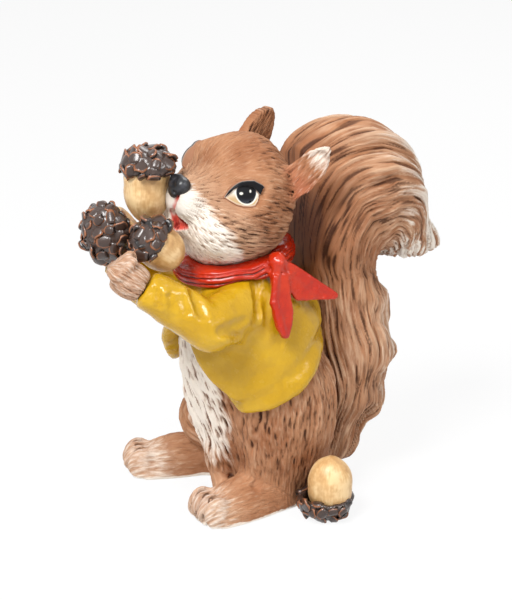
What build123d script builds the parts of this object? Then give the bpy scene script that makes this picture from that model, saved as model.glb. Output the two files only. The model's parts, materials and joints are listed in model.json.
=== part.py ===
"""A standing squirrel figurine of cast, hand-painted resin, sculpted as separate bonded pieces.

Millimetres. +Z is up and the animal faces -Y, so its left side is +X. The origin lies on the
flat underside of the torso, in the plane that the figurine stands on.
"""

import math
import os

from build123d import *

os.makedirs("parts", exist_ok=True)

# Torso: upright pear of horizontal ovals, from the flat base to the neck spigot
base_half_width = 12.5
base_half_depth = 12.5
base_back = 4.5
hip_level = 11.0
hip_half_width = 15.5
hip_half_depth = 17.0
hip_back = 1.5
belly_level = 28.0
belly_half_width = 16.5
belly_half_depth = 19.0
belly_front = 2.0
chest_level = 43.0
chest_half_width = 16.0
chest_half_depth = 18.5
chest_front = 4.0
shoulder_level = 54.0
shoulder_half_width = 13.5
shoulder_half_depth = 14.5
shoulder_front = 6.0
neck_half_width = 9.0
neck_half_depth = 9.0
neck_front = 8.5
neck_rise = 13.0

# Haunches: the two thighs, seated against the sides of the torso
haunch_foot_half_width = 6.5
haunch_foot_half_depth = 9.5
haunch_foot_out = 10.5
haunch_shin_half_width = 7.2
haunch_shin_half_depth = 12.5
haunch_shin_out = 12.0
haunch_knee_level = 24.0
haunch_knee_half_width = 8.2
haunch_knee_half_depth = 14.5
haunch_knee_out = 13.5
haunch_top_rise = 21.0
haunch_top_half_width = 4.5
haunch_top_half_depth = 7.0
haunch_top_out = 10.0

# Feet: long flat-soled hind feet with a row of toes
foot_length = 27.0
foot_heel_half_width = 4.5
foot_ball_half_width = 6.6
foot_instep_height = 10.5
foot_toe_height = 7.5
toe_count = 4
toe_radius = 2.6
left_foot_out = 12.5
left_foot_back = 1.0
left_foot_splay = 3.0
right_foot_out = 14.0
right_foot_back = -2.0
right_foot_splay = 20.0

# Tail: upright stem, seated on the flat back of the body, that fans out round a pinch point
tail_seat_back = 12.2
tail_root_back = 19.5
tail_root_level = 4.0
tail_root_half_width = 6.0
tail_root_half_depth = 6.0
tail_rump_back = 21.3
tail_rump_level = 12.0
tail_rump_half_width = 9.3
tail_rump_half_depth = 8.4
tail_stem_back = 23.0
tail_stem_level = 20.0
tail_stem_half_width = 12.0
tail_stem_half_depth = 10.5
tail_waist_back = 24.0
tail_waist_level = 40.0
tail_waist_half_width = 15.0
tail_waist_half_depth = 12.0
tail_pinch_back = 34.5
tail_pinch_level = 57.5
tail_pinch_radius = 2.0
plume_half_width = 18.0
plume_lean = 3.5
plume_front_reach = 22.0
plume_brow_reach = 39.5
plume_crown_reach = 38.5
plume_back_reach = 19.5
plume_tip_reach = 21.5
plume_tip_half_width = 8.0
tail_lock_count = 12
tail_lock_depth = 1.5

# Head: skull and muzzle along one axis, tipped up, rolled and turned on the neck
head_front = 9.0
head_level = 81.0
head_pitch = 19.0
head_roll = 8.0
head_turn = 3.0
skull_half_width = 16.5
skull_half_height = 17.0
skull_back = 14.5
cheek_forward = 9.0
cheek_half_width = 13.0
cheek_half_height = 11.5
cheek_drop = 3.4
muzzle_forward = 13.5
muzzle_half_width = 7.8
muzzle_half_height = 7.2
muzzle_drop = 3.2
snout_forward = 16.8
snout_out = 1.5
snout_half_width = 4.6
snout_half_height = 4.4
snout_drop = 2.4

# Ears: cupped leaves on the back corners of the skull
ear_out = 11.0
ear_up = 5.5
ear_behind = 6.5
ear_lean_out = 3.8
ear_lean_back = 5.7
ear_length = 18.0
ear_half_width = 5.2
ear_thickness = 3.4
ear_dish_depth = 1.5
ear_rim = 1.1
left_ear_turn = 49.0
right_ear_turn = 75.0

# Eyes and nose, bonded on the face
eye_radius = 4.6
eye_out = 10.8
eye_up = 4.7
eye_forward = 4.0
nose_radius = 3.0
nose_up = 0.6
nose_flatten = 0.8

# Jacket: a flared coat over the torso, open at the front, with a hem that rises to the back
jacket_hem_level = 30.5
jacket_hem_rise = 14.5
jacket_hem_run = 23.0
jacket_hem_fullness = 6.0
jacket_chest_fullness = 4.6
jacket_shoulder_fullness = 4.6
jacket_collar_level = 64.0
jacket_collar_half_width = 12.5
jacket_collar_half_depth = 13.0
jacket_opening_top = 54.0
jacket_opening_hem_half_width = 18.0

# Sleeves: bent tubes from the shoulders to the wrists
sleeve_shoulder_radius = 7.4
sleeve_elbow_radius = 6.3
sleeve_cuff_radius = 5.0
shoulder_out = 11.0
shoulder_ahead = 9.0
shoulder_height = 57.0
left_elbow = Vector(17.5, -25.0, 55.0)
left_wrist = Vector(9.6, -38.8, 65.0)
right_elbow = Vector(-17.5, -22.0, 53.0)
right_wrist = Vector(-16.2, -33.0, 64.6)

# Paws: a palm with curled fingers
paw_radius = 4.7
paw_reach = 4.6
finger_count = 4
finger_radius = 1.9
finger_reach = 4.3
finger_fan = 29.0

# Scarf: a band round the neck, a knot on the left and two loose ends
scarf_ahead = 8.5
scarf_level = 65.5
scarf_tilt = 9.0
scarf_half_width = 15.2
scarf_half_depth = 16.2
scarf_height = 4.8
scarf_edge_round = 1.6
knot_radius = 3.3
knot_out = 15.6
knot_ahead = 4.8
knot_level = 68.0
scarf_end_thickness = 2.4
scarf_end_proud = 1.4
scarf_end_root = 1.8
hanging_end_tip = Vector(21.5, -6.0, 49.5)
hanging_end_half_width = 3.1
flying_end_tip = Vector(19.5, 10.5, 57.0)
flying_end_tip_half_width = 1.0
flying_end_corner_along = 9.5
flying_end_corner_across = 6.0
flying_end_corner_round = 1.2

# Acorns: a nut seated in a cup, one standing on the floor and three held in the paws
cup_share = 0.72
cup_rim = 1.2
floor_acorn_out = 25.2
floor_acorn_back = 4.2
floor_cup_radius = 7.2
floor_cup_sink = 0.6
floor_nut_radius = 5.7
floor_nut_length = 10.6
top_acorn_rim = Vector(-6.0, -30.5, 89.4)
top_nut_way = Vector(0, 0, -1)
top_cup_radius = 7.7
top_nut_radius = 6.1
top_nut_length = 15.0
far_acorn_rim = Vector(-7.9, -39.8, 74.6)
far_nut_way = Vector(-0.35, 0.94, 0)
far_cup_radius = 7.7
far_nut_radius = 5.8
far_nut_length = 9.0
near_acorn_rim = Vector(5.0, -34.8, 75.5)
near_nut_way = Vector(-0.1, 0.75, -0.65)
near_cup_radius = 5.9
near_nut_radius = 5.5
near_nut_length = 11.5

SIDES = (("left", 1), ("right", -1))


def cross_plane(point, direction, across=(1, 0, 0)):
    """Plane square to a direction at a point, with its x axis as near to `across` as it goes."""
    return Plane(origin=point, x_dir=across, z_dir=direction)


def scalloped(plane, half_width, half_height, calm):
    """Oval section of the tail with a scallop for each lock, which fades by `calm` towards the inner side."""
    points = []
    for index in range(2 * tail_lock_count):
        turn = math.pi * index / tail_lock_count
        swell = (-1) ** index * tail_lock_depth / 2 * (1 - calm * (1 + math.sin(turn)) / 2)
        points.append(((half_width + swell) * math.cos(turn), (half_height + swell) * math.sin(turn)))
    with BuildSketch(plane) as section:
        with BuildLine():
            for crest in range(0, len(points), 2):
                ThreePointArc(points[crest - 1], points[crest], points[crest + 1])
        make_face()
    return section.sketch


def leaf(half_width, length):
    """Pointed leaf from the origin along +Y, widest just under half way."""
    with BuildSketch() as outline:
        with BuildLine():
            for sign in (1, -1):
                ThreePointArc((0, 0), (sign * half_width, 0.45 * length), (0, length))
        make_face()
    return outline.sketch


# Seat of the tail: the upright plane across the back of the torso, the haunches and the jacket
seat_plane = Plane.XZ.offset(-tail_seat_back)

# Torso, standing on its flat base, with the neck as a spigot for the head
neck_level = shoulder_level + neck_rise
TORSO_SECTIONS = (
    (0, base_back, base_half_width, base_half_depth),
    (hip_level, hip_back, hip_half_width, hip_half_depth),
    (belly_level, -belly_front, belly_half_width, belly_half_depth),
    (chest_level, -chest_front, chest_half_width, chest_half_depth),
    (shoulder_level, -shoulder_front, shoulder_half_width, shoulder_half_depth),
    (neck_level, -neck_front, neck_half_width, neck_half_depth),
)
with BuildPart() as torso:
    for level, back, half_width, half_depth in TORSO_SECTIONS:
        with BuildSketch(Plane.XY.offset(level)):
            with Locations((0, back)):
                Ellipse(half_width, half_depth)
    loft()
    split(bisect_by=seat_plane, keep=Keep.TOP)
torso.part.label = "torso"
export_step(torso.part, "parts/torso.step")

# Haunches, one each side, cut to seat on the torso
haunch_top_level = haunch_knee_level + haunch_top_rise
HAUNCH_SECTIONS = (
    (0, haunch_foot_out, haunch_foot_half_width, haunch_foot_half_depth),
    (hip_level, haunch_shin_out, haunch_shin_half_width, haunch_shin_half_depth),
    (haunch_knee_level, haunch_knee_out, haunch_knee_half_width, haunch_knee_half_depth),
    (haunch_top_level, haunch_top_out, haunch_top_half_width, haunch_top_half_depth),
)
haunches = {}
for side, sign in SIDES:
    with BuildPart() as haunch:
        for level, out, half_width, half_depth in HAUNCH_SECTIONS:
            with BuildSketch(Plane.XY.offset(level)):
                with Locations((sign * out, 0)):
                    Ellipse(half_width, half_depth)
        loft()
        split(bisect_by=seat_plane, keep=Keep.TOP)
        add(torso.part, mode=Mode.SUBTRACT)
    haunch.part.label = f"{side}_haunch"
    export_step(haunch.part, f"parts/{side}_haunch.step")
    haunches[side] = haunch.part

# Feet: a lofted foot with rounded toes, cut flat at the sole
feet = {}
for side, sign in SIDES:
    foot_out = left_foot_out if side == "left" else right_foot_out
    foot_back = left_foot_back if side == "left" else right_foot_back
    splay = left_foot_splay if side == "left" else right_foot_splay
    ahead = Vector(0, -1, 0).rotate(Axis.Z, sign * splay)
    across = ahead.cross(Vector(0, 0, -1))
    heel = Vector(sign * foot_out, foot_back, 0)
    toe_base = foot_length - toe_radius
    with BuildPart() as foot:
        for along, half_width, height in (
            (0, foot_heel_half_width, foot_toe_height),
            (0.4 * foot_length, foot_ball_half_width, foot_instep_height),
            (toe_base, foot_ball_half_width, foot_toe_height),
        ):
            with BuildSketch(cross_plane(heel + ahead * along, ahead, across)):
                Ellipse(half_width, height)
        loft()
        toe_pitch = 2 * (foot_ball_half_width - toe_radius) / (toe_count - 1)
        for index in range(toe_count):
            sideways = (index - (toe_count - 1) / 2) * toe_pitch
            with Locations(heel + ahead * toe_base + across * sideways + Vector(0, 0, toe_radius)):
                Sphere(toe_radius)
        split(bisect_by=Plane.XY, keep=Keep.TOP)
        add(torso.part, mode=Mode.SUBTRACT)
        add(haunches[side], mode=Mode.SUBTRACT)
    foot.part.label = f"{side}_foot"
    export_step(foot.part, f"parts/{side}_foot.step")
    feet[side] = foot.part

# Tail: upright stem, then sections that fan round the pinch point
pinch = Vector(-plume_lean, tail_pinch_back, tail_pinch_level)


def plume_section(angle, reach, half_width):
    """Oval that reaches out from the pinch point at an angle above the backward horizon."""
    outward = Vector(0, 1, 0).rotate(Axis.X, angle)
    along = outward.cross(Vector(1, 0, 0))
    half_reach = (reach - tail_pinch_radius) / 2
    centre = pinch + outward * (tail_pinch_radius + half_reach)
    return scalloped(Plane(origin=centre, x_dir=(1, 0, 0), z_dir=along), half_width, half_reach, 1)


tail_sections = [
    scalloped(
        cross_plane((0, tail_root_back, tail_root_level), (0, 0, 1)),
        tail_root_half_width,
        tail_root_half_depth,
        0,
    ),
    scalloped(
        cross_plane((0, tail_rump_back, tail_rump_level), (0, 0.15, 1)),
        tail_rump_half_width,
        tail_rump_half_depth,
        0,
    ),
    scalloped(
        cross_plane((0, tail_stem_back, tail_stem_level), (0, 0.15, 1)),
        tail_stem_half_width,
        tail_stem_half_depth,
        0,
    ),
    scalloped(
        cross_plane((0, tail_waist_back, tail_waist_level), (0, -0.1, 1)),
        tail_waist_half_width,
        tail_waist_half_depth,
        0,
    ),
    plume_section(180, plume_front_reach, 0.92 * plume_half_width),
    plume_section(150, (plume_front_reach + plume_brow_reach) / 2, plume_half_width),
    plume_section(122, plume_brow_reach, plume_half_width),
    plume_section(95, plume_crown_reach, plume_half_width),
    plume_section(68, (plume_crown_reach + plume_back_reach) / 2, 0.9 * plume_half_width),
    plume_section(42, plume_back_reach, 0.75 * plume_half_width),
    plume_section(18, plume_back_reach, 0.6 * plume_half_width),
    plume_section(0, plume_tip_reach, plume_tip_half_width),
]
with BuildPart() as tail:
    loft(tail_sections)
    split(bisect_by=seat_plane, keep=Keep.BOTTOM)
tail.part.label = "tail"
export_step(tail.part, "parts/tail.step")

# Head: sections from the back of the skull to the snout, on the head's own tipped axis
tip = math.radians(head_pitch)
head_ahead = Vector(0, -math.cos(tip), math.sin(tip))
head_up = Vector(0, math.sin(tip), math.cos(tip))
head_left = Vector(1, 0, 0).rotate(Axis((0, 0, 0), head_ahead), -head_roll)
head_left = head_left.rotate(Axis.Z, head_turn)
head_ahead = head_ahead.rotate(Axis.Z, head_turn)
head_plane = Plane(origin=(0, -head_front, head_level), x_dir=head_left, z_dir=head_ahead)


def on_head(left, up, ahead):
    """Point given from the middle of the skull, along the head's own axes."""
    return head_plane.from_local_coords(Vector(left, up, ahead))


HEAD_SECTIONS = (
    (-skull_back, 0, 0, 0.28 * skull_half_width, 0.28 * skull_half_height),
    (-0.8 * skull_back, 0, 0, 0.68 * skull_half_width, 0.68 * skull_half_height),
    (-0.35 * skull_back, 0, 0, 0.97 * skull_half_width, 0.97 * skull_half_height),
    (0.3 * cheek_forward, 0, -0.3 * cheek_drop, skull_half_width, skull_half_height),
    (cheek_forward, 0, -cheek_drop, cheek_half_width, cheek_half_height),
    (muzzle_forward, 0.5 * snout_out, -muzzle_drop, muzzle_half_width, muzzle_half_height),
    (snout_forward, snout_out, -snout_drop, snout_half_width, snout_half_height),
    (snout_forward + 1.5, snout_out, -snout_drop, 0.5 * snout_half_width, 0.5 * snout_half_height),
)
with BuildPart() as head:
    for ahead, out, up, half_width, half_height in HEAD_SECTIONS:
        with BuildSketch(head_plane.offset(ahead)):
            with Locations((out, up)):
                Ellipse(half_width, half_height)
    loft()
    add(torso.part, mode=Mode.SUBTRACT)
head.part.label = "head"
export_step(head.part, "parts/head.step")

# Ears: leaves with a dished front face, set into the skull
for side, sign in SIDES:
    ear_turn = left_ear_turn if side == "left" else right_ear_turn
    root = on_head(sign * ear_out, ear_up, -ear_behind)
    tip_rise = math.sqrt(ear_length**2 - ear_lean_out**2 - ear_lean_back**2)
    along = (on_head(sign * ear_lean_out, tip_rise, -ear_lean_back) - on_head(0, 0, 0)).normalized()
    facing = head_ahead.rotate(Axis((0, 0, 0), head_up), sign * ear_turn)
    facing = facing - along * facing.dot(along)
    ear_plane = Plane(origin=root, x_dir=along.cross(facing), z_dir=facing)
    with BuildPart() as ear:
        with BuildSketch(ear_plane):
            add(leaf(ear_half_width, ear_length))
        extrude(amount=ear_thickness / 2, both=True)
        with BuildSketch(ear_plane.offset(ear_thickness / 2)):
            add(leaf(ear_half_width, ear_length))
            offset(amount=-ear_rim, kind=Kind.INTERSECTION, mode=Mode.REPLACE)
        extrude(amount=-ear_dish_depth, taper=20, mode=Mode.SUBTRACT)
        add(head.part, mode=Mode.SUBTRACT)
    ear.part.label = f"{side}_ear"
    export_step(ear.part, f"parts/{side}_ear.step")

# Eyes: domes bonded into the sides of the face
for side, sign in SIDES:
    with BuildPart() as eye:
        with Locations(on_head(sign * eye_out, eye_up, eye_forward)):
            Sphere(eye_radius)
        add(head.part, mode=Mode.SUBTRACT)
    eye.part.label = f"{side}_eye"
    export_step(eye.part, f"parts/{side}_eye.step")

# Nose: a flattened button on the top of the snout
with BuildPart() as nose:
    with BuildSketch(head_plane.offset(snout_forward)):
        with Locations((snout_out, nose_up)):
            Circle(nose_radius)
    extrude(amount=nose_flatten * nose_radius)
    nose_front = nose.faces().sort_by(Axis((0, 0, 0), head_ahead))[-1]
    fillet(nose_front.edges(), 0.75 * nose_flatten * nose_radius)
    add(head.part, mode=Mode.SUBTRACT)
nose.part.label = "nose"
export_step(nose.part, "parts/nose.step")

# Jacket: a solid coat cast on the torso, trimmed at the hem and the front opening
torso_lean = (neck_front - shoulder_front) / neck_rise
collar_front = shoulder_front + torso_lean * (jacket_collar_level - shoulder_level)
JACKET_SECTIONS = (
    (hip_level, 0, belly_half_width, belly_half_depth, jacket_hem_fullness),
    (belly_level, belly_front, belly_half_width, belly_half_depth, jacket_hem_fullness),
    (chest_level, chest_front, chest_half_width, chest_half_depth, jacket_chest_fullness),
    (shoulder_level, shoulder_front, shoulder_half_width, shoulder_half_depth, jacket_shoulder_fullness),
    (jacket_collar_level, collar_front, jacket_collar_half_width, jacket_collar_half_depth, 0),
)
hem_front = belly_front + belly_half_depth
hem_plane = Plane(
    origin=(0, -hem_front, jacket_hem_level),
    x_dir=(1, 0, 0),
    z_dir=(0, -jacket_hem_rise, jacket_hem_run),
)
opening_foot = jacket_opening_top - 2 * (jacket_opening_top - jacket_hem_level)
with BuildPart() as jacket:
    for level, front, half_width, half_depth, fullness in JACKET_SECTIONS:
        with BuildSketch(Plane.XY.offset(level)):
            with Locations((0, -front)):
                Ellipse(half_width + fullness, half_depth + fullness)
    loft()
    split(bisect_by=hem_plane, keep=Keep.TOP)
    split(bisect_by=seat_plane, keep=Keep.TOP)
    with BuildSketch(Plane.XZ.offset(chest_front)):
        with BuildLine():
            Polyline(
                (-2 * jacket_opening_hem_half_width, opening_foot),
                (0, jacket_opening_top),
                (2 * jacket_opening_hem_half_width, opening_foot),
                close=True,
            )
        make_face()
    extrude(amount=2 * hem_front, mode=Mode.SUBTRACT)
    for other in (torso.part, head.part, *haunches.values()):
        add(other, mode=Mode.SUBTRACT)
jacket.part.label = "jacket"
export_step(jacket.part, "parts/jacket.step")


def acorn_plane(rim, way):
    """Plane on an acorn's axis, with its y axis along the nut."""
    axis = way.normalized()
    across = Vector(1, 0, 0) - axis * axis.X
    return Plane(origin=rim, x_dir=across, z_dir=across.cross(axis))


def make_nut(rim, way, radius, length):
    """Pointed nut, widest a third of the way up from the rim of its cup."""
    with BuildPart() as nut:
        with BuildSketch(acorn_plane(rim, way)):
            with BuildLine():
                Line((0, -0.5 * radius), (0.6 * radius, -0.5 * radius))
                ThreePointArc((0.6 * radius, -0.5 * radius), (0.94 * radius, 0), (radius, 0.3 * length))
                shoulder_end = (0.2 * radius, 0.96 * length)
                ThreePointArc((radius, 0.3 * length), (0.8 * radius, 0.74 * length), shoulder_end)
                Polyline(shoulder_end, (0, length), (0, -0.5 * radius))
            make_face()
        revolve(axis=Axis(rim, way))
    return nut.part


def make_cup(rim, way, radius):
    """Rounded cup below the rim, solid until the nut is cut out of it."""
    depth = cup_share * radius
    with BuildPart() as cup:
        with BuildSketch(acorn_plane(rim, way)):
            with BuildLine():
                Line((0, -depth), (0.25 * radius, -0.97 * depth))
                ThreePointArc((0.25 * radius, -0.97 * depth), (0.77 * radius, -0.65 * depth), (radius, 0))
                lip = (radius - cup_rim, cup_rim)
                ThreePointArc((radius, 0), (radius - 0.3 * cup_rim, 0.8 * cup_rim), lip)
                Polyline(lip, (0, cup_rim), (0, -depth))
            make_face()
        revolve(axis=Axis(rim, way))
    return cup.part


# Acorns, each nut and cup cut by what it is bonded to
floor_rim = Vector(floor_acorn_out, floor_acorn_back, cup_share * floor_cup_radius - floor_cup_sink)
ACORNS = (
    ("floor", floor_rim, Vector(0, 0, 1), floor_cup_radius, floor_nut_radius, floor_nut_length),
    ("near", near_acorn_rim, near_nut_way, near_cup_radius, near_nut_radius, near_nut_length),
    ("top", top_acorn_rim, top_nut_way, top_cup_radius, top_nut_radius, top_nut_length),
    ("far", far_acorn_rim, far_nut_way, far_cup_radius, far_nut_radius, far_nut_length),
)
ACORN_SEATS = {
    "floor": (haunches["left"],),
    "near": (head.part,),
    "top": (head.part, nose.part),
    "far": (),
}
held_acorns = []
for place, rim, way, cup_radius, nut_radius, nut_length in ACORNS:
    seats = [*ACORN_SEATS[place], *held_acorns]
    with BuildPart() as nut:
        add(make_nut(rim, way, nut_radius, nut_length))
        for other in seats:
            add(other, mode=Mode.SUBTRACT)
    nut.part.label = f"{place}_acorn_nut"
    export_step(nut.part, f"parts/{place}_acorn_nut.step")
    with BuildPart() as cup:
        add(make_cup(rim, way, cup_radius))
        split(bisect_by=Plane.XY, keep=Keep.TOP)
        for other in (nut.part, *seats):
            add(other, mode=Mode.SUBTRACT)
    cup.part.label = f"{place}_acorn_cup"
    export_step(cup.part, f"parts/{place}_acorn_cup.step")
    if place != "floor":
        held_acorns += [nut.part, cup.part]

# Sleeves and paws: an upper arm and a forearm that meet in a round elbow, and a palm with fingers
arm_parts = []
for side, sign in SIDES:
    elbow = left_elbow if side == "left" else right_elbow
    wrist = left_wrist if side == "left" else right_wrist
    shoulder = Vector(sign * shoulder_out, -shoulder_ahead, shoulder_height)
    forearm = (wrist - elbow).normalized()
    with BuildPart() as sleeve:
        for point, radius in ((shoulder, sleeve_shoulder_radius), (elbow, sleeve_elbow_radius)):
            with BuildSketch(cross_plane(point, elbow - shoulder)):
                Circle(radius)
        loft()
        for point, radius in ((elbow, sleeve_elbow_radius), (wrist, sleeve_cuff_radius)):
            with BuildSketch(cross_plane(point, forearm)):
                Circle(radius)
        loft()
        with Locations(elbow):
            Sphere(sleeve_elbow_radius)
        for other in (torso.part, jacket.part, *held_acorns):
            add(other, mode=Mode.SUBTRACT)
    sleeve.part.label = f"{side}_sleeve"
    export_step(sleeve.part, f"parts/{side}_sleeve.step")
    palm = wrist + forearm * paw_reach
    up = (Vector(0, 0, 1) - forearm * forearm.Z).normalized()
    with BuildPart() as paw:
        for share, width in ((-0.9, 0.8), (0, 1), (0.75, 0.75)):
            with BuildSketch(cross_plane(palm + forearm * (share * paw_radius), forearm)):
                Circle(width * paw_radius)
        loft()
        for index in range(finger_count):
            turn = (index - (finger_count - 1) / 2) * finger_fan
            pointing = forearm.rotate(Axis((0, 0, 0), up), turn)
            with Locations(palm + pointing * finger_reach):
                Sphere(finger_radius)
        for other in (sleeve.part, *held_acorns):
            add(other, mode=Mode.SUBTRACT)
    paw.part.label = f"{side}_paw"
    export_step(paw.part, f"parts/{side}_paw.step")
    arm_parts += [sleeve.part, paw.part]

# Scarf band: a rounded ring round the neck, cut to sit on the collar
scarf_plane = Plane(
    origin=(0, -scarf_ahead, scarf_level),
    x_dir=(1, 0, 0),
    z_dir=Vector(0, 0, 1).rotate(Axis.X, scarf_tilt),
)
with BuildPart() as scarf_band:
    with BuildSketch(scarf_plane):
        Ellipse(scarf_half_width, scarf_half_depth)
    extrude(amount=scarf_height / 2, both=True)
    fillet(scarf_band.edges(), scarf_edge_round)
    for other in (torso.part, head.part, jacket.part, *held_acorns, *arm_parts):
        add(other, mode=Mode.SUBTRACT)
scarf_band.part.label = "scarf_band"
export_step(scarf_band.part, "parts/scarf_band.step")

# Scarf knot and the two loose ends, on the left side of the neck
knot_place = Vector(knot_out, -knot_ahead, knot_level)
scarf_seats = [torso.part, head.part, jacket.part, arm_parts[0], scarf_band.part]
with BuildPart() as scarf_knot:
    with Locations(knot_place):
        Sphere(knot_radius)
    for other in scarf_seats:
        add(other, mode=Mode.SUBTRACT)
scarf_knot.part.label = "scarf_knot"
export_step(scarf_knot.part, "parts/scarf_knot.step")
scarf_seats.append(scarf_knot.part)



def petal(length):
    """Hanging end from the origin along +Y: narrow at the knot, widest near its round tip."""
    with BuildSketch() as outline:
        Circle(scarf_end_root)
        with Locations((0, length - hanging_end_half_width)):
            Circle(hanging_end_half_width)
        make_hull()
    return outline.sketch


def kerchief(length):
    """Flying end from the origin along +Y: a straight upper edge and a lower corner half way along."""
    with BuildSketch() as outline:
        Circle(scarf_end_root)
        with Locations((0, length - flying_end_tip_half_width)):
            Circle(flying_end_tip_half_width)
        with Locations((flying_end_corner_across - flying_end_corner_round, flying_end_corner_along)):
            Circle(flying_end_corner_round)
        make_hull()
    return outline.sketch


SCARF_ENDS = (
    ("hanging", hanging_end_tip, petal),
    ("flying", flying_end_tip, kerchief),
)
for name, end_tip, end_outline in SCARF_ENDS:
    along = end_tip - knot_place
    outward = Vector(1, 0, 0) - along * (along.X / along.dot(along))
    outer_plane = Plane(
        origin=knot_place + outward.normalized() * scarf_end_proud,
        x_dir=along.cross(outward),
        z_dir=outward,
    )
    with BuildPart() as scarf_end:
        with BuildSketch(outer_plane):
            add(end_outline(along.length))
        extrude(amount=-scarf_end_thickness)
        for other in scarf_seats:
            add(other, mode=Mode.SUBTRACT)
    scarf_end.part.label = f"scarf_{name}_end"
    export_step(scarf_end.part, f"parts/scarf_{name}_end.step")
    scarf_seats.append(scarf_end.part)
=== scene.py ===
"""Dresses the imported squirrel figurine: tooled fur, glossy clothes, painted face and lumpy acorn cups.

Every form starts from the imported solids, read as signed distances on a grid, so each piece keeps its place.
Sculpting works in millimetres, and finished meshes are written in metres. Each run gives the same result.
"""

from __future__ import annotations

import json
import logging
import math
from dataclasses import dataclass, field, replace
from enum import Enum
from typing import Iterable, Sequence

import bpy
import numpy as np
import openvdb
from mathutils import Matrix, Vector

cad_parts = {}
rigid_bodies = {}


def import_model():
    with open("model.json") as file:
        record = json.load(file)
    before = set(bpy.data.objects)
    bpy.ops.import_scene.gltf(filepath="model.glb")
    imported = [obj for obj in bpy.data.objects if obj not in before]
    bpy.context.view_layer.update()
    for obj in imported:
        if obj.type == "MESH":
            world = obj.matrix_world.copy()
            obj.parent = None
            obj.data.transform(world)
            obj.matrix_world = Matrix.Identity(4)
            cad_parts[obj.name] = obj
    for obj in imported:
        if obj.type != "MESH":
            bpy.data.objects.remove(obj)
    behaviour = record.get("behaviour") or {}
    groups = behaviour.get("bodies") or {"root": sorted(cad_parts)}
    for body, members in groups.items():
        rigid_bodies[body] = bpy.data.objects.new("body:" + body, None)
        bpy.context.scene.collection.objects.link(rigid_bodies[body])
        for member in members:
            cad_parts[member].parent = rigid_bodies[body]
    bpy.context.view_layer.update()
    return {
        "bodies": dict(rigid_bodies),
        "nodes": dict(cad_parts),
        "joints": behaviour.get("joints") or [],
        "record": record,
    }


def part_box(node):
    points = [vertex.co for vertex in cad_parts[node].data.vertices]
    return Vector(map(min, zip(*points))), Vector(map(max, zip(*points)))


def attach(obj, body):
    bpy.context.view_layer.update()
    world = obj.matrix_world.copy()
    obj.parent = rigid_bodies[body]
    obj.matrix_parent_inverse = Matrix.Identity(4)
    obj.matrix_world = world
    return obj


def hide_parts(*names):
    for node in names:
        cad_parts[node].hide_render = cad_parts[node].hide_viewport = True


LOG = logging.getLogger("squirrel")
MM = 0.001
BODY = "root"
NODES: dict[str, str] = {}
Array = np.ndarray
Pair = tuple[float, float]
Point = tuple[float, float, float]
Colour = Point
Stroke = tuple[int, int, float, float]
Fold = tuple[Pair, Pair, float, float]


class Slot(Enum):
    """Material slots of the record. The fur and cloth grounds keep one, but nothing reads it: each piece is
    given its finish directly.
    """

    FUR = "fur"
    EYE = "eye"
    NOSE = "nose"
    JACKET = "jacket"
    SCARF = "scarf"
    CUP = "cup"
    NUT = "nut"


def unit(vectors: Sequence[float] | Array) -> Array:
    """A vector, or each row of several, at length one."""
    value = np.asarray(vectors, dtype=float)
    return value / np.maximum(np.linalg.norm(value, axis=-1, keepdims=True), 1e-12)


def ease(value: Array, low: float, high: float) -> Array:
    """Smooth step from 0 at low to 1 at high."""
    share = np.clip((value - low) / (high - low), 0.0, 1.0)
    return share * share * (3.0 - 2.0 * share)


def melt(first: Array, second: Array, width: float) -> Array:
    """Union of two distance blocks, with the crease between them filled over a width."""
    share = np.clip(0.5 + 0.5 * (second - first) / width, 0.0, 1.0)
    return second * (1.0 - share) + first * share - width * share * (1.0 - share)


def carve(block: Array, tool: Array, width: float) -> Array:
    """Block with a tool's shape taken away, with a softened edge."""
    return -melt(-block, tool, width)


def cell_corners(part: Array) -> Iterable[tuple[Array, Array]]:
    """Each corner of a grid cell, with its weight at places in the cell."""
    for corner in np.ndindex(2, 2, 2):
        left, middle, right = np.where(corner, part, 1.0 - part).T
        yield np.array(corner), left * middle * right


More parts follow.
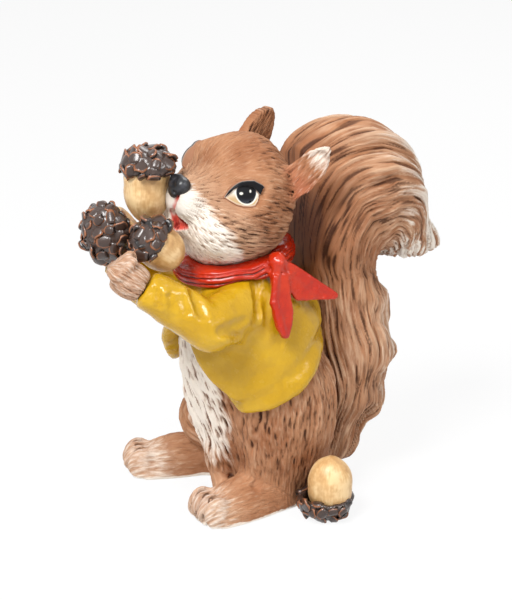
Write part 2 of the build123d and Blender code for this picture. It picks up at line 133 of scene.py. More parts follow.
class Grain:
    """Seeded gradient noise and tool marks, worked out on whole arrays of points."""

    def __init__(self, seed: int) -> None:
        """Sets up the lattice of random gradients.

        Args:
            seed: Number that fixes the pattern.
        """
        draw = np.random.RandomState(seed)
        self.order = np.concatenate([draw.permutation(256)] * 3)
        self.gradients = unit(draw.normal(size=(256, 3)))
        self.seed = seed

    def noise(self, points: Array) -> Array:
        """Gradient noise, about -1 to 1.

        Args:
            points: Positions, one row each, already divided by the size of the pattern.

        Returns:
            One value for each row.
        """
        base = np.floor(points).astype(np.int64)
        part = points - base
        fade = part * part * part * (part * (part * 6.0 - 15.0) + 10.0)
        total = np.zeros(len(points))
        for corner, weight in cell_corners(fade):
            cell = (base + corner) & 255
            slot = self.order[self.order[self.order[cell[:, 0]] + cell[:, 1]] + cell[:, 2]]
            total += weight * np.einsum("ij,ij->i", self.gradients[slot], part - corner)
        return 1.6 * total

    def layers(self, points: Array, count: int, roughness: float = 0.5) -> Array:
        """Sum of noise at halving sizes.

        Args:
            points: Positions divided by the size of the largest pattern.
            count: How many sizes are added.
            roughness: How much each smaller size keeps of the one before it.

        Returns:
            One value for each row.
        """
        total = np.zeros(len(points))
        strength = 1.0
        for level in range(count):
            total += strength * self.noise(points * 2.0**level + 17.3 * level)
            strength *= roughness
        return total

    def _draw(self, column: Array, row: Array, which: int) -> Array:
        """Random numbers from 0 to 1 that belong to cells of a lattice."""
        value = (column * 374761393 + row * 668265263 + which * 974711 + self.seed * 362437) & 0xFFFFFFFF
        value = ((value ^ (value >> 13)) * 1274126177) & 0xFFFFFFFF
        value = ((value ^ (value >> 16)) * 2246822519) & 0xFFFFFFFF
        return (value ^ (value >> 15)) / 4294967295.0

    def marks(self, across: Array, along: Array, width: float, length: float, turn: float = 0.0) -> Array:
        """Depth of short tapered strokes of a modelling tool.

        Args:
            across: Distance across the lie of the fur.
            along: Distance along the lie of the fur.
            width: Pitch of the strokes side by side.
            length: Pitch of the strokes end to end.
            turn: Distance across after which the pattern meets itself, or 0.

        Returns:
            Depth from 0, untouched, to 1, the bottom of a stroke.
        """
        columns = max(1, round(turn / width)) if turn else 0
        share = across * (columns / turn) if turn else across / width
        first = np.floor(share).astype(np.int64)
        deepest = np.zeros(len(across))
        for step in (-1, 0, 1):
            column = first + step
            name = column % columns if columns else column
            shifted = along / length + self._draw(name, name * 0 + 7, 1)
            start = np.floor(shifted).astype(np.int64)
            for climb in (-1, 0, 1):
                row = start + climb
                centre = column + 0.5 + 0.7 * (self._draw(name, row, 2) - 0.5)
                middle = row + 0.5 + 0.5 * (self._draw(name, row, 3) - 0.5)
                reach = 0.3 + 0.35 * self._draw(name, row, 4)
                rise = shifted - middle
                lean = 1.1 * (self._draw(name, row, 5) - 0.5)
                aside = share - centre - lean * rise
                body = np.clip(1.0 - (rise / reach) ** 2, 0.0, 1.0)
                stroke = np.exp(-((aside / 0.3) ** 2)) * body * (0.45 + 0.55 * self._draw(name, row, 6))
                deepest = np.maximum(deepest, stroke)
        return deepest


@dataclass
class Clay:
    """A block of signed distances on a grid, in millimetres, that is sculpted and then skinned."""

    low: Array
    cell: float
    counts: tuple[int, int, int]
    reach: float = 9.0

    @classmethod
    def around(cls, names: Iterable[str], cell: float, margin: float = 4.0) -> Clay:
        """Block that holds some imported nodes.

        Args:
            names: Nodes to hold.
            cell: Side of a grid cell.
            margin: Room on every side.

        Returns:
            The empty block.
        """
        corners = np.array([[tuple(corner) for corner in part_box(name)] for name in names]) / MM
        low = corners[:, 0].min(axis=0) - margin
        high = corners[:, 1].max(axis=0) + margin
        counts = tuple(int(math.ceil(side / cell)) + 1 for side in high - low)
        return cls(low, cell, counts)

    def place(self) -> Array:
        """Position of every grid point, shaped like the block with three columns."""
        axes = [self.low[axis] + self.cell * np.arange(self.counts[axis]) for axis in range(3)]
        return np.stack(np.meshgrid(*axes, indexing="ij"), axis=-1)

    def node(self, name: str) -> Array:
        """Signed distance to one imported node, clipped at the block's reach."""
        points, triangles = node_mesh(name)
        grid = openvdb.FloatGrid.createLevelSetFromPolygons(
            (points - self.low).astype(np.float32),
            triangles=triangles.astype(np.uint32),
            transform=openvdb.createLinearTransform(voxelSize=self.cell),
            halfWidth=self.reach / self.cell,
        )
        block = np.full(self.counts, self.reach, dtype=np.float32)
        grid.copyToArray(block)
        return block.astype(float)

    def read(self, block: Array, points: Array) -> Array:
        """Values of a block at any points, by linear interpolation."""
        share = np.clip((points - self.low) / self.cell, 0.0, np.array(self.counts) - 1.001)
        base = share.astype(np.int64)
        part = share - base
        total = np.zeros(len(points))
        for corner, weight in cell_corners(part):
            total += weight * block[tuple((base + corner).T)]
        return total

    def slope(self, block: Array, points: Array) -> Array:
        """Outward direction of a block's skin at some points."""
        rows = []
        for axis in range(3):
            step = np.zeros(3)
            step[axis] = self.cell
            rows.append(self.read(block, points + step) - self.read(block, points - step))
        return unit(np.stack(rows, axis=1))

    def soften(self, block: Array, rounds: int) -> Array:
        """Block blurred by a small kernel, which rounds edges and creases."""
        for _ in range(rounds):
            for axis in range(3):
                last = block.shape[axis] - 1
                order = np.arange(last + 1)
                before = block.take(np.maximum(order - 1, 0), axis)
                after = block.take(np.minimum(order + 1, last), axis)
                block = 0.25 * before + 0.5 * block + 0.25 * after
        return block

    def skin(self, block: Array, smooth: int = 1) -> Skin:
        """Closed surface of a block, subdivided so that fine strokes can be pressed into it.

        Args:
            block: Signed distances.
            smooth: Levels of subdivision.

        Returns:
            The surface.
        """
        grid = openvdb.FloatGrid(self.reach)
        grid.copyFromArray(block.astype(np.float32))
        points, quads = grid.convertToQuads(0.0)
        points = points.astype(float) * self.cell + self.low
        faces = quads.astype(np.int64)
        corner = points[faces]
        inside = np.einsum("ij,ij->i", corner[:, 0], np.cross(corner[:, 1], corner[:, 2]))
        inside += np.einsum("ij,ij->i", corner[:, 0], np.cross(corner[:, 2], corner[:, 3]))
        if inside.sum() < 0:
            faces = faces[:, ::-1]
        return Skin(points, faces).refined(smooth)


def node_mesh(name: str) -> tuple[Array, Array]:
    """Points, in millimetres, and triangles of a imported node."""
    mesh = bpy.data.objects[NODES[name]].data
    mesh.calc_loop_triangles()
    points = np.empty(len(mesh.vertices) * 3)
    mesh.vertices.foreach_get("co", points)
    triangles = np.empty(len(mesh.loop_triangles) * 3, dtype=np.int32)
    mesh.loop_triangles.foreach_get("vertices", triangles)
    return points.reshape(-1, 3) / MM, triangles.reshape(-1, 3)


def ball(place: Array, centre: Sequence[float], radii: Sequence[float], axes: Array | None = None) -> Array:
    """Approximate signed distance to an ellipsoid.

    Args:
        place: Grid points.
        centre: Middle of the ellipsoid.
        radii: Half sizes along its own axes.
        axes: Its axes as rows, or None for the frame's axes.

    Returns:
        Distances, shaped like the grid.
    """
    offset = place - np.asarray(centre, dtype=float)
    if axes is not None:
        offset = offset @ np.asarray(axes).T
    size = np.asarray(radii, dtype=float)
    near = np.linalg.norm(offset / size, axis=-1)
    far = np.linalg.norm(offset / size**2, axis=-1)
    return near * (near - 1.0) / np.maximum(far, 1e-9)


def rod(
    place: Array,
    start: Sequence[float],
    end: Sequence[float],
    radius: float,
    tip: float | None = None,
) -> Array:
    """Signed distance to a round-ended rod that may taper from its start to its tip."""
    first = np.asarray(start, dtype=float)
    way = np.asarray(end, dtype=float) - first
    share = np.clip(((place - first) @ way) / way.dot(way), 0.0, 1.0)
    gap = np.linalg.norm(place - first - share[..., None] * way, axis=-1)
    return gap - (radius + ((radius if tip is None else tip) - radius) * share)


def gathered(index: Array, rows: Array, count: int) -> Array:
    """Mean of the rows that share a number, for each number up to a count."""
    share = np.maximum(np.bincount(index, minlength=count), 1)
    return np.stack([np.bincount(index, column, count) / share for column in rows.T], axis=1)


def brush(mesh: bpy.types.Mesh, label: str, values: Sequence[float] | Array) -> None:
    """Paints one number on every point of a mesh."""
    layer = mesh.attributes.new(label, "FLOAT", "POINT")
    layer.data.foreach_set("value", np.asarray(values, dtype=np.float32))


@dataclass
class Skin:
    """A surface in millimetres with painted values on its points."""

    points: Array
    faces: Array
    paint: dict[str, Array] = field(default_factory=dict)
    facing: Array | None = None
    lids: list[Sequence[int]] = field(default_factory=list)

    def refined(self, levels: int) -> Skin:
        """The surface after smooth subdivision of its quads."""
        points, faces = self.points, self.faces
        for _ in range(levels):
            count = len(points)
            middle = points[faces].mean(axis=1)
            round_face = np.repeat(middle, 4, axis=0)
            start, end = faces.ravel(), np.roll(faces, -1, axis=1).ravel()
            both = np.minimum(start, end) * count + np.maximum(start, end)
            keys, edge = np.unique(both, return_inverse=True)
            ends = np.stack([keys // count, keys % count], axis=1)
            half = points[ends].mean(axis=1)
            valence = np.bincount(ends.ravel(), minlength=count)[:, None]
            inner = gathered(start, round_face, count)
            rim = gathered(ends.ravel(), np.repeat(half, 2, axis=0), count)
            moved = (inner + 2.0 * rim + (valence - 3.0) * points) / valence
            crossed = 0.5 * (half + gathered(edge, round_face, len(keys)))
            after = edge.reshape(-1, 4) + count
            centre = np.repeat(np.arange(len(faces))[:, None] + count + len(keys), 4, axis=1)
            quads = np.stack([faces, after, centre, np.roll(after, 1, axis=1)], axis=-1)
            points, faces = np.vstack([moved, crossed, middle]), quads.reshape(-1, 4)
        return Skin(points, faces)

    def normals(self) -> Array:
        """Outward direction at every point."""
        corner = self.points[self.faces]
        face = np.cross(corner[:, 2] - corner[:, 0], corner[:, 3] - corner[:, 1])
        total = gathered(self.faces.ravel(), np.repeat(face, 4, axis=0), len(self.points))
        return unit(total)

    def push(self, height: Array) -> None:
        """Moves every point along its normal by a height."""
        self.points = self.points + self.normals() * height[:, None]

    def mesh(self, name: str) -> bpy.types.Mesh:
        """A smooth-shaded mesh in metres, with the painted values as attributes."""
        mesh = bpy.data.meshes.new(name)
        mesh.from_pydata((self.points * MM).tolist(), [], self.faces.tolist() + self.lids)
        for label, values in self.paint.items():
            if values.ndim == 1:
                brush(mesh, label, values)
            else:
                layer = mesh.attributes.new(label, "FLOAT_VECTOR", "POINT")
                layer.data.foreach_set("vector", values.astype(np.float32).ravel())
        mesh.shade_smooth()
        if self.facing is not None:
            mesh.normals_split_custom_set_from_vertices(self.facing.tolist())
        return mesh

    def part(self, chosen: Array, normals: Array) -> Skin:
        """The chosen faces as a surface of its own, shaded as the whole is and closed across each rim.

        Args:
            chosen: Which faces are taken.
            normals: Outward direction at each point of the whole.

        Returns:
            The new surface.
        """
        faces = self.faces[chosen]
        used, compact = np.unique(faces, return_inverse=True)
        faces = compact.reshape(faces.shape)
        points = self.points[used]
        facing = normals[used]
        paint = {label: values[used] for label, values in self.paint.items()}
        lids = []
        for rim in open_rims(faces):
            middle = len(points)
            points = np.vstack([points, points[rim].mean(axis=0)])
            facing = np.vstack([facing, facing[rim].mean(axis=0)])
            for label, values in paint.items():
                paint[label] = np.concatenate([values, values[rim].mean(axis=0)[None]])
            lids += [(rim[step], rim[step - 1], middle) for step in range(len(rim))]
        return Skin(points, faces, paint, facing, lids)


def open_rims(faces: Array) -> list[list[int]]:
    """Loops of points along the open edges of some faces, in the faces' own direction."""
    start = faces.ravel()
    end = np.roll(faces, -1, axis=1).ravel()
    both = {(a, b) for a, b in zip(start.tolist(), end.tolist())}
    follow: dict[int, list[int]] = {}
    for first, second in both:
        if (second, first) not in both:
            follow.setdefault(first, []).append(second)
    loops = []
    while follow:
        begin = next(iter(follow))
        loop = [begin]
        while True:
            here = loop[-1]
            ahead = follow[here].pop()
            if not follow[here]:
                del follow[here]
            if ahead == begin:
                break
            loop.append(ahead)
        loops.append(loop)
    return loops


class Wire:
    """A value in a shader, which plain expressions add to, multiply and compare."""

    def __init__(self, paint: Paint, socket: bpy.types.NodeSocket) -> None:
        """Keeps the socket and the paint that it belongs to."""
        self.paint = paint
        self.socket = socket

    def _math(self, operation: str, first: Wire | float, second: Wire | float) -> Wire:
        """A Math node on two values."""
        made = self.paint.node("ShaderNodeMath", {"operation": operation}, {0: first, 1: second})
        return Wire(self.paint, made.outputs[0])

    def __add__(self, other: Wire | float) -> Wire:
        """Sum."""
        return self._math("ADD", self, other)

    def __sub__(self, other: Wire | float) -> Wire:
        """Difference."""
        return self._math("SUBTRACT", self, other)

    def __rsub__(self, other: float) -> Wire:
        """Difference from a plain number."""
        return self._math("SUBTRACT", other, self)

    def __mul__(self, other: Wire | float) -> Wire:
        """Product."""
        return self._math("MULTIPLY", self, other)

    __radd__ = __add__
    __rmul__ = __mul__

    def step(self, low: float, high: float) -> Wire:
        """Smooth step from 0 at low to 1 at high."""
        made = self.paint.node(
            "ShaderNodeMapRange",
            {"interpolation_type": "SMOOTHSTEP"},
            {"Value": self, "From Min": low, "From Max": high},
        )
        return Wire(self.paint, made.outputs["Result"])


class Paint:
    """One material, built from expressions."""

    def __init__(self, name: str) -> None:
        """Starts an empty material with one surface shader."""
        self.material = bpy.data.materials.new(name)
        self.material.use_nodes = True
        self.tree = self.material.node_tree
        self.tree.nodes.clear()
        self.shader = self.node("ShaderNodeBsdfPrincipled")
        self.node("ShaderNodeOutputMaterial", None, {"Surface": Wire(self, self.shader.outputs[0])})

    def node(
        self,
        kind: str,
        settings: dict[str, object] | None = None,
        sockets: dict[str | int, object] | None = None,
    ) -> bpy.types.Node:
        """Adds a node.

        Args:
            kind: Type of the node.
            settings: Properties, which are set first.
            sockets: Values or wires of its inputs, by name or number.

        Returns:
            The node.
        """
        made = self.tree.nodes.new(kind)
        for label, value in (settings or {}).items():
            setattr(made, label, value)
        for label, value in (sockets or {}).items():
            self.feed(made.inputs[label], value)
        return made

    def feed(self, socket: bpy.types.NodeSocket, value: object) -> None:
        """Links a wire to an input, or sets a plain value on it."""
        if isinstance(value, Wire):
            self.tree.links.new(value.socket, socket)
        elif isinstance(value, tuple) and socket.type == "RGBA":
            socket.default_value = (*value, 1.0)
        else:
            socket.default_value = value

    def painted(self, label: str) -> Wire:
        """A number painted on the points of the piece."""
        return Wire(self, self.node("ShaderNodeAttribute", {"attribute_name": label}).outputs["Fac"])

    def lie(self) -> Wire:
        """The lie of the fur, painted on the points of the piece as a vector."""
        return Wire(self, self.node("ShaderNodeAttribute", {"attribute_name": "lie"}).outputs["Vector"])

    def place(self) -> Wire:
        """Position on the object."""
        return Wire(self, self.node("ShaderNodeTexCoord").outputs["Object"])

    def noise(self, where: Wire, scale: float, detail: float = 2.0, roughness: float = 0.5) -> Wire:
        """Noise, about 0.2 to 0.8."""
        made = self.node(
            "ShaderNodeTexNoise",
            None,
            {"Vector": where, "Scale": scale, "Detail": detail, "Roughness": roughness},
        )
        return Wire(self, made.outputs["Fac"])

    def mix(self, share: Wire, first: Wire | Colour, second: Wire | Colour) -> Wire:
        """Colour between two colours."""
        made = self.node("ShaderNodeMix", {"data_type": "RGBA"}, {0: share, 6: first, 7: second})
        return Wire(self, made.outputs[2])

    def bump(self, height: Wire, strength: float, distance: float) -> Wire:
        """Normal that follows a height."""
        sizes = {"Height": height, "Strength": strength, "Distance": distance}
        made = self.node("ShaderNodeBump", None, sizes)
        return Wire(self, made.outputs["Normal"])

    def coat(self, **inputs: object) -> bpy.types.Material:
        """Sets inputs of the surface shader, with underscores for spaces, and gives the material."""
        for label, value in inputs.items():
            self.feed(self.shader.inputs[label.replace("_", " ")], value)
        return self.material


def srgb(red: int, green: int, blue: int) -> Colour:
    """Colour as written on a screen, in the light values that shaders take."""
    return tuple(
        value / 12.92 if value <= 0.04045 else ((value + 0.055) / 1.055) ** 2.4
        for value in (red / 255.0, green / 255.0, blue / 255.0)
    )


@dataclass(frozen=True)
class FurFinish:
    """Matt acrylic on tooled resin: base coat, dark paint in the grooves and dry-brushing on the ridges, with
    painted shade in the grooves and hollows and painted highlight on the ridges.
    """

    name: str
    base: Colour = srgb(174, 124, 90)
    # Dark brown for the grooves and hollows: the figurine's dark paint there, and painted shade.
    deep: Colour = srgb(72, 42, 28)
    warm: Colour = srgb(150, 98, 66)
    # Pale for the ridges: the figurine's dry-brushing, and painted highlight on the raised fur.
    pale: Colour = srgb(212, 178, 148)
    cream: Colour = srgb(236, 226, 214)
    # Cream darkened in the grooves and hollows: dark paint there, and painted shade.
    cream_in_grooves: Colour = srgb(148, 114, 88)
    rose: Colour = srgb(214, 84, 70)
    rose_deep: Colour = srgb(128, 28, 26)
    roughness: float = 0.62

    def material(self) -> bpy.types.Material:
        """Builds the finish.

        Returns:
            The material, which reads the painted values groove, ridge, cream, rose, shade and lie.
        """
        paint = Paint(self.name)
        lie = paint.lie()
        groove, ridge = paint.painted("groove"), paint.painted("ridge")
        cream, shade = paint.painted("cream"), paint.painted("shade")
        strand = paint.noise(lie, 1.9, 3.0, 0.6)
        patch = paint.noise(paint.place(), 110.0, 3.0, 0.55)
        brown = paint.mix(patch.step(0.36, 0.62), self.warm, self.base)
        # Pale on the ridges and on random strands: dry-brushing, and painted highlight on the raised fur;
        # less where the shade value is set.
        rub_and_highlight = (strand.step(0.5, 0.75) * 0.4 + ridge * 0.6) * (1.0 - shade * 0.8)
        brown = paint.mix(rub_and_highlight, brown, self.pale)
        # Darker, warmer brown where the shade value is set: the head's painted shadow on the tail, and darker
        # low on the body and haunches, on the crown, the ears and the plume's front.
        brown = paint.mix(shade * 0.7, brown, self.warm)
        # Dark in the grooves, the hollows and the strand gaps: the figurine's dark paint there, and painted
        # shade; the cream darkens there alike.
        line = (groove + strand.step(0.42, 0.3) * 0.2).step(0.15, 0.9)
        brown = paint.mix(line, brown, self.deep)
        white = paint.mix(line * 0.95, self.cream, self.cream_in_grooves)
        edge = (cream + (strand - 0.5) * 0.9 - groove * 0.25).step(0.2, 0.8)
        colour = paint.mix(edge, brown, white)
        # Lips and mouth: rose, and deeper red in the mouth pit and wherever the groove value is high, which
        # includes painted shade in grooves and hollows.
        flesh = paint.mix(groove.step(0.35, 0.9), self.rose, self.rose_deep)
        colour = paint.mix(paint.painted("rose"), colour, flesh)
        fine = paint.noise(lie, 5.5, 2.0, 0.6)
        return paint.coat(
            Base_Color=colour,
            Roughness=self.roughness + (fine - 0.5) * 0.2,
            Specular_IOR_Level=0.15,
            Normal=paint.bump(fine * 0.6 + strand, 0.6, 0.0008),
        )


@dataclass(frozen=True)
class GlossFinish:
    """Thick gloss paint on smooth resin: paler in random clouds and on the ridges, where it is painted
    highlight, and darker in random blotches and in the folds and hollows, where it is painted shade.
    """

    name: str
    base: Colour
    # Paler paint: random clouds of it, and painted highlight on the ridges.
    light: Colour
    # Darker paint: random blotches, and painted shade in the folds and hollows.
    shade_and_stain_tone: Colour
    roughness: float = 0.24

    def material(self) -> bpy.types.Material:
        """Builds the finish.

        Returns:
            The material, which reads the painted values groove and ridge.
        """
        paint = Paint(self.name)
        where = paint.place()
        groove, ridge = paint.painted("groove"), paint.painted("ridge")
        cloud = paint.noise(where, 95.0, 4.0, 0.6)
        dab = paint.noise(where, 300.0, 3.0, 0.55)
        grain = paint.noise(where, 900.0, 3.0, 0.6)
        # Painted highlight on the ridges, mixed with random paler clouds.
        colour = paint.mix(cloud.step(0.4, 0.68) * 0.5 + ridge * 0.5, self.base, self.light)
        # Painted shade in the folds and hollows, mixed with random darker blotches.
        shading_and_stain = (groove * 1.1 + (0.5 - cloud) * 0.9 + (0.5 - dab) * 0.7 + (grain - 0.5) * 0.5).step(0.1, 0.95)
        colour = paint.mix(shading_and_stain, colour, self.shade_and_stain_tone)
        return paint.coat(
            Base_Color=colour,
            Roughness=self.roughness + groove * 0.25 + (dab - 0.5) * 0.3,
            Specular_IOR_Level=0.25,
            Coat_Weight=0.35,
            Coat_Roughness=0.1,
            Normal=paint.bump(grain * 0.15 + dab * 0.8 + cloud, 0.5, 0.001),
        )


@dataclass(frozen=True)
class NutFinish:
    """Satin tan paint with drawn-out streaks along the nut, and painted shade in its hollows."""

    name: str = "nut_tan"
    base: Colour = srgb(202, 160, 106)
    light: Colour = srgb(228, 196, 146)
    dark: Colour = srgb(158, 112, 66)

    def material(self) -> bpy.types.Material:
        """Builds the finish, which reads the painted values groove and lie."""
        paint = Paint(self.name)
        lie = paint.lie()
        streak = paint.noise(paint.place(), 210.0, 3.0, 0.6)
        fine = paint.noise(lie, 2.2, 2.0, 0.6)
        colour = paint.mix((streak + (fine - 0.5) * 0.35).step(0.4, 0.66), self.base, self.light)
        colour = paint.mix(streak.step(0.46, 0.3) * 0.45, colour, self.dark)
        # Painted shade: darker in the nut's hollows.
        colour = paint.mix(paint.painted("groove").step(0.05, 0.95), colour, self.dark)
        return paint.coat(
            Base_Color=colour,
            Roughness=0.4 + (fine - 0.5) * 0.3,
            Normal=paint.bump(streak + fine * 0.3, 0.2, 0.0004),
        )


@dataclass(frozen=True)
class CupFinish:
    """Near-black brown gloss with copper dry-brushed on the edges of the scales."""

    name: str = "cup_brown"
    base: Colour = srgb(58, 41, 34)
    deep: Colour = srgb(24, 17, 15)
    copper: Colour = srgb(150, 92, 56)

    def material(self) -> bpy.types.Material:
        """Builds the finish, which reads the painted values groove and ridge."""
        paint = Paint(self.name)
        where = paint.place()
        rub = paint.noise(where, 420.0, 3.0, 0.6)
        # Painted shade: darker in the hollows of the bowl and on the underside of every scale.
        colour = paint.mix(paint.painted("groove").step(0.1, 0.8), self.base, self.deep)
        edge = (paint.painted("ridge") + (rub - 0.5) * 0.9).step(0.5, 0.85)
        colour = paint.mix(edge * 0.85, colour, self.copper)
        return paint.coat(
            Base_Color=colour,
            Roughness=0.3 + edge * 0.25,
            Coat_Weight=0.3,
            Coat_Roughness=0.15,
            Normal=paint.bump(rub, 0.25, 0.0005),
        )


@dataclass(frozen=True)
class EyeFinish:
    """A painted eye: white, dark iris, two glints, inked lid line and skin round it."""

    name: str = "eye_paint"
    white: Colour = srgb(224, 221, 212)
    ink: Colour = srgb(16, 16, 20)
    iris: Colour = srgb(30, 32, 40)
    skin: Colour = srgb(150, 105, 78)
    lid: Colour = srgb(178, 148, 108)

    def material(self) -> bpy.types.Material:
        """Builds the finish, which reads the painted values skin, lid, iris, pupil, ink and glint."""
        paint = Paint(self.name)
        cloud = paint.noise(paint.place(), 500.0, 3.0)
        colour = paint.mix((cloud - 0.5) * 0.5 + 0.1, self.white, self.lid)
        tones = {"skin": self.skin, "lid": self.lid, "iris": self.iris, "pupil": self.ink, "ink": self.ink}
        for label, tone in (*tones.items(), ("glint", self.white)):
            colour = paint.mix(paint.painted(label), colour, tone)
        return paint.coat(
            Base_Color=colour,
            Roughness=0.42 + paint.painted("skin") * 0.2 + (cloud - 0.5) * 0.1,
            Specular_IOR_Level=0.2,
            Normal=paint.bump(cloud, 0.12, 0.0003),
        )


@dataclass(frozen=True)
class NoseFinish:
    """Satin black paint with a faint brushed unevenness."""

    name: str = "nose_black"
    base: Colour = srgb(26, 26, 29)
    worn: Colour = srgb(52, 52, 58)

    def material(self) -> bpy.types.Material:
        """Builds the finish."""
        paint = Paint(self.name)
        cloud = paint.noise(paint.place(), 420.0, 3.0)
        return paint.coat(
            Base_Color=paint.mix(cloud.step(0.5, 0.75), self.base, self.worn),
            Roughness=0.36 + (cloud - 0.5) * 0.2,
            Normal=paint.bump(cloud, 0.2, 0.0005),
        )


def publish(
    name: str,
    mesh: bpy.types.Mesh,
    material: bpy.types.Material,
    nodes: Sequence[str],
) -> None:
    """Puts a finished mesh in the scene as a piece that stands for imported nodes.

    Args:
        name: Name of the piece.
        mesh: Its mesh, in place.
        material: Its finish.
        nodes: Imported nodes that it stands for.
    """
    piece = bpy.data.objects.new(name, mesh)
    bpy.context.scene.collection.objects.link(piece)
    mesh.materials.clear()
    mesh.materials.append(material)
    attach(piece, BODY)
    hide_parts(*nodes)
    LOG.info("%s: %d faces for %s", name, len(mesh.polygons), ", ".join(nodes))


def cavity(skin: Skin, rounds: int) -> Array:
    """How far each point stands above, or lies below, the mean of the surface round it, in millimetres."""
    smooth = skin.points.copy()
    start = skin.faces.ravel()
    end = np.roll(skin.faces, -1, axis=1).ravel()
    count = np.bincount(start, minlength=len(smooth)) + np.bincount(end, minlength=len(smooth))
    for _ in range(rounds):
        total = np.zeros_like(smooth)
        for axis in range(3):
            total[:, axis] += np.bincount(start, weights=smooth[end, axis], minlength=len(smooth))
            total[:, axis] += np.bincount(end, weights=smooth[start, axis], minlength=len(smooth))
        smooth = 0.5 * smooth + 0.5 * total / np.maximum(count, 1)[:, None]
    return np.einsum("ij,ij->i", skin.points - smooth, skin.normals())


def spin(vector: Sequence[float], axis: Sequence[float], degrees: float) -> Array:
    """A vector turned about an axis."""
    start, pole, angle = np.asarray(vector, dtype=float), unit(axis), math.radians(degrees)
    turned = start * math.cos(angle) + np.cross(pole, start) * math.sin(angle)
    return turned + pole * pole.dot(start) * (1.0 - math.cos(angle))


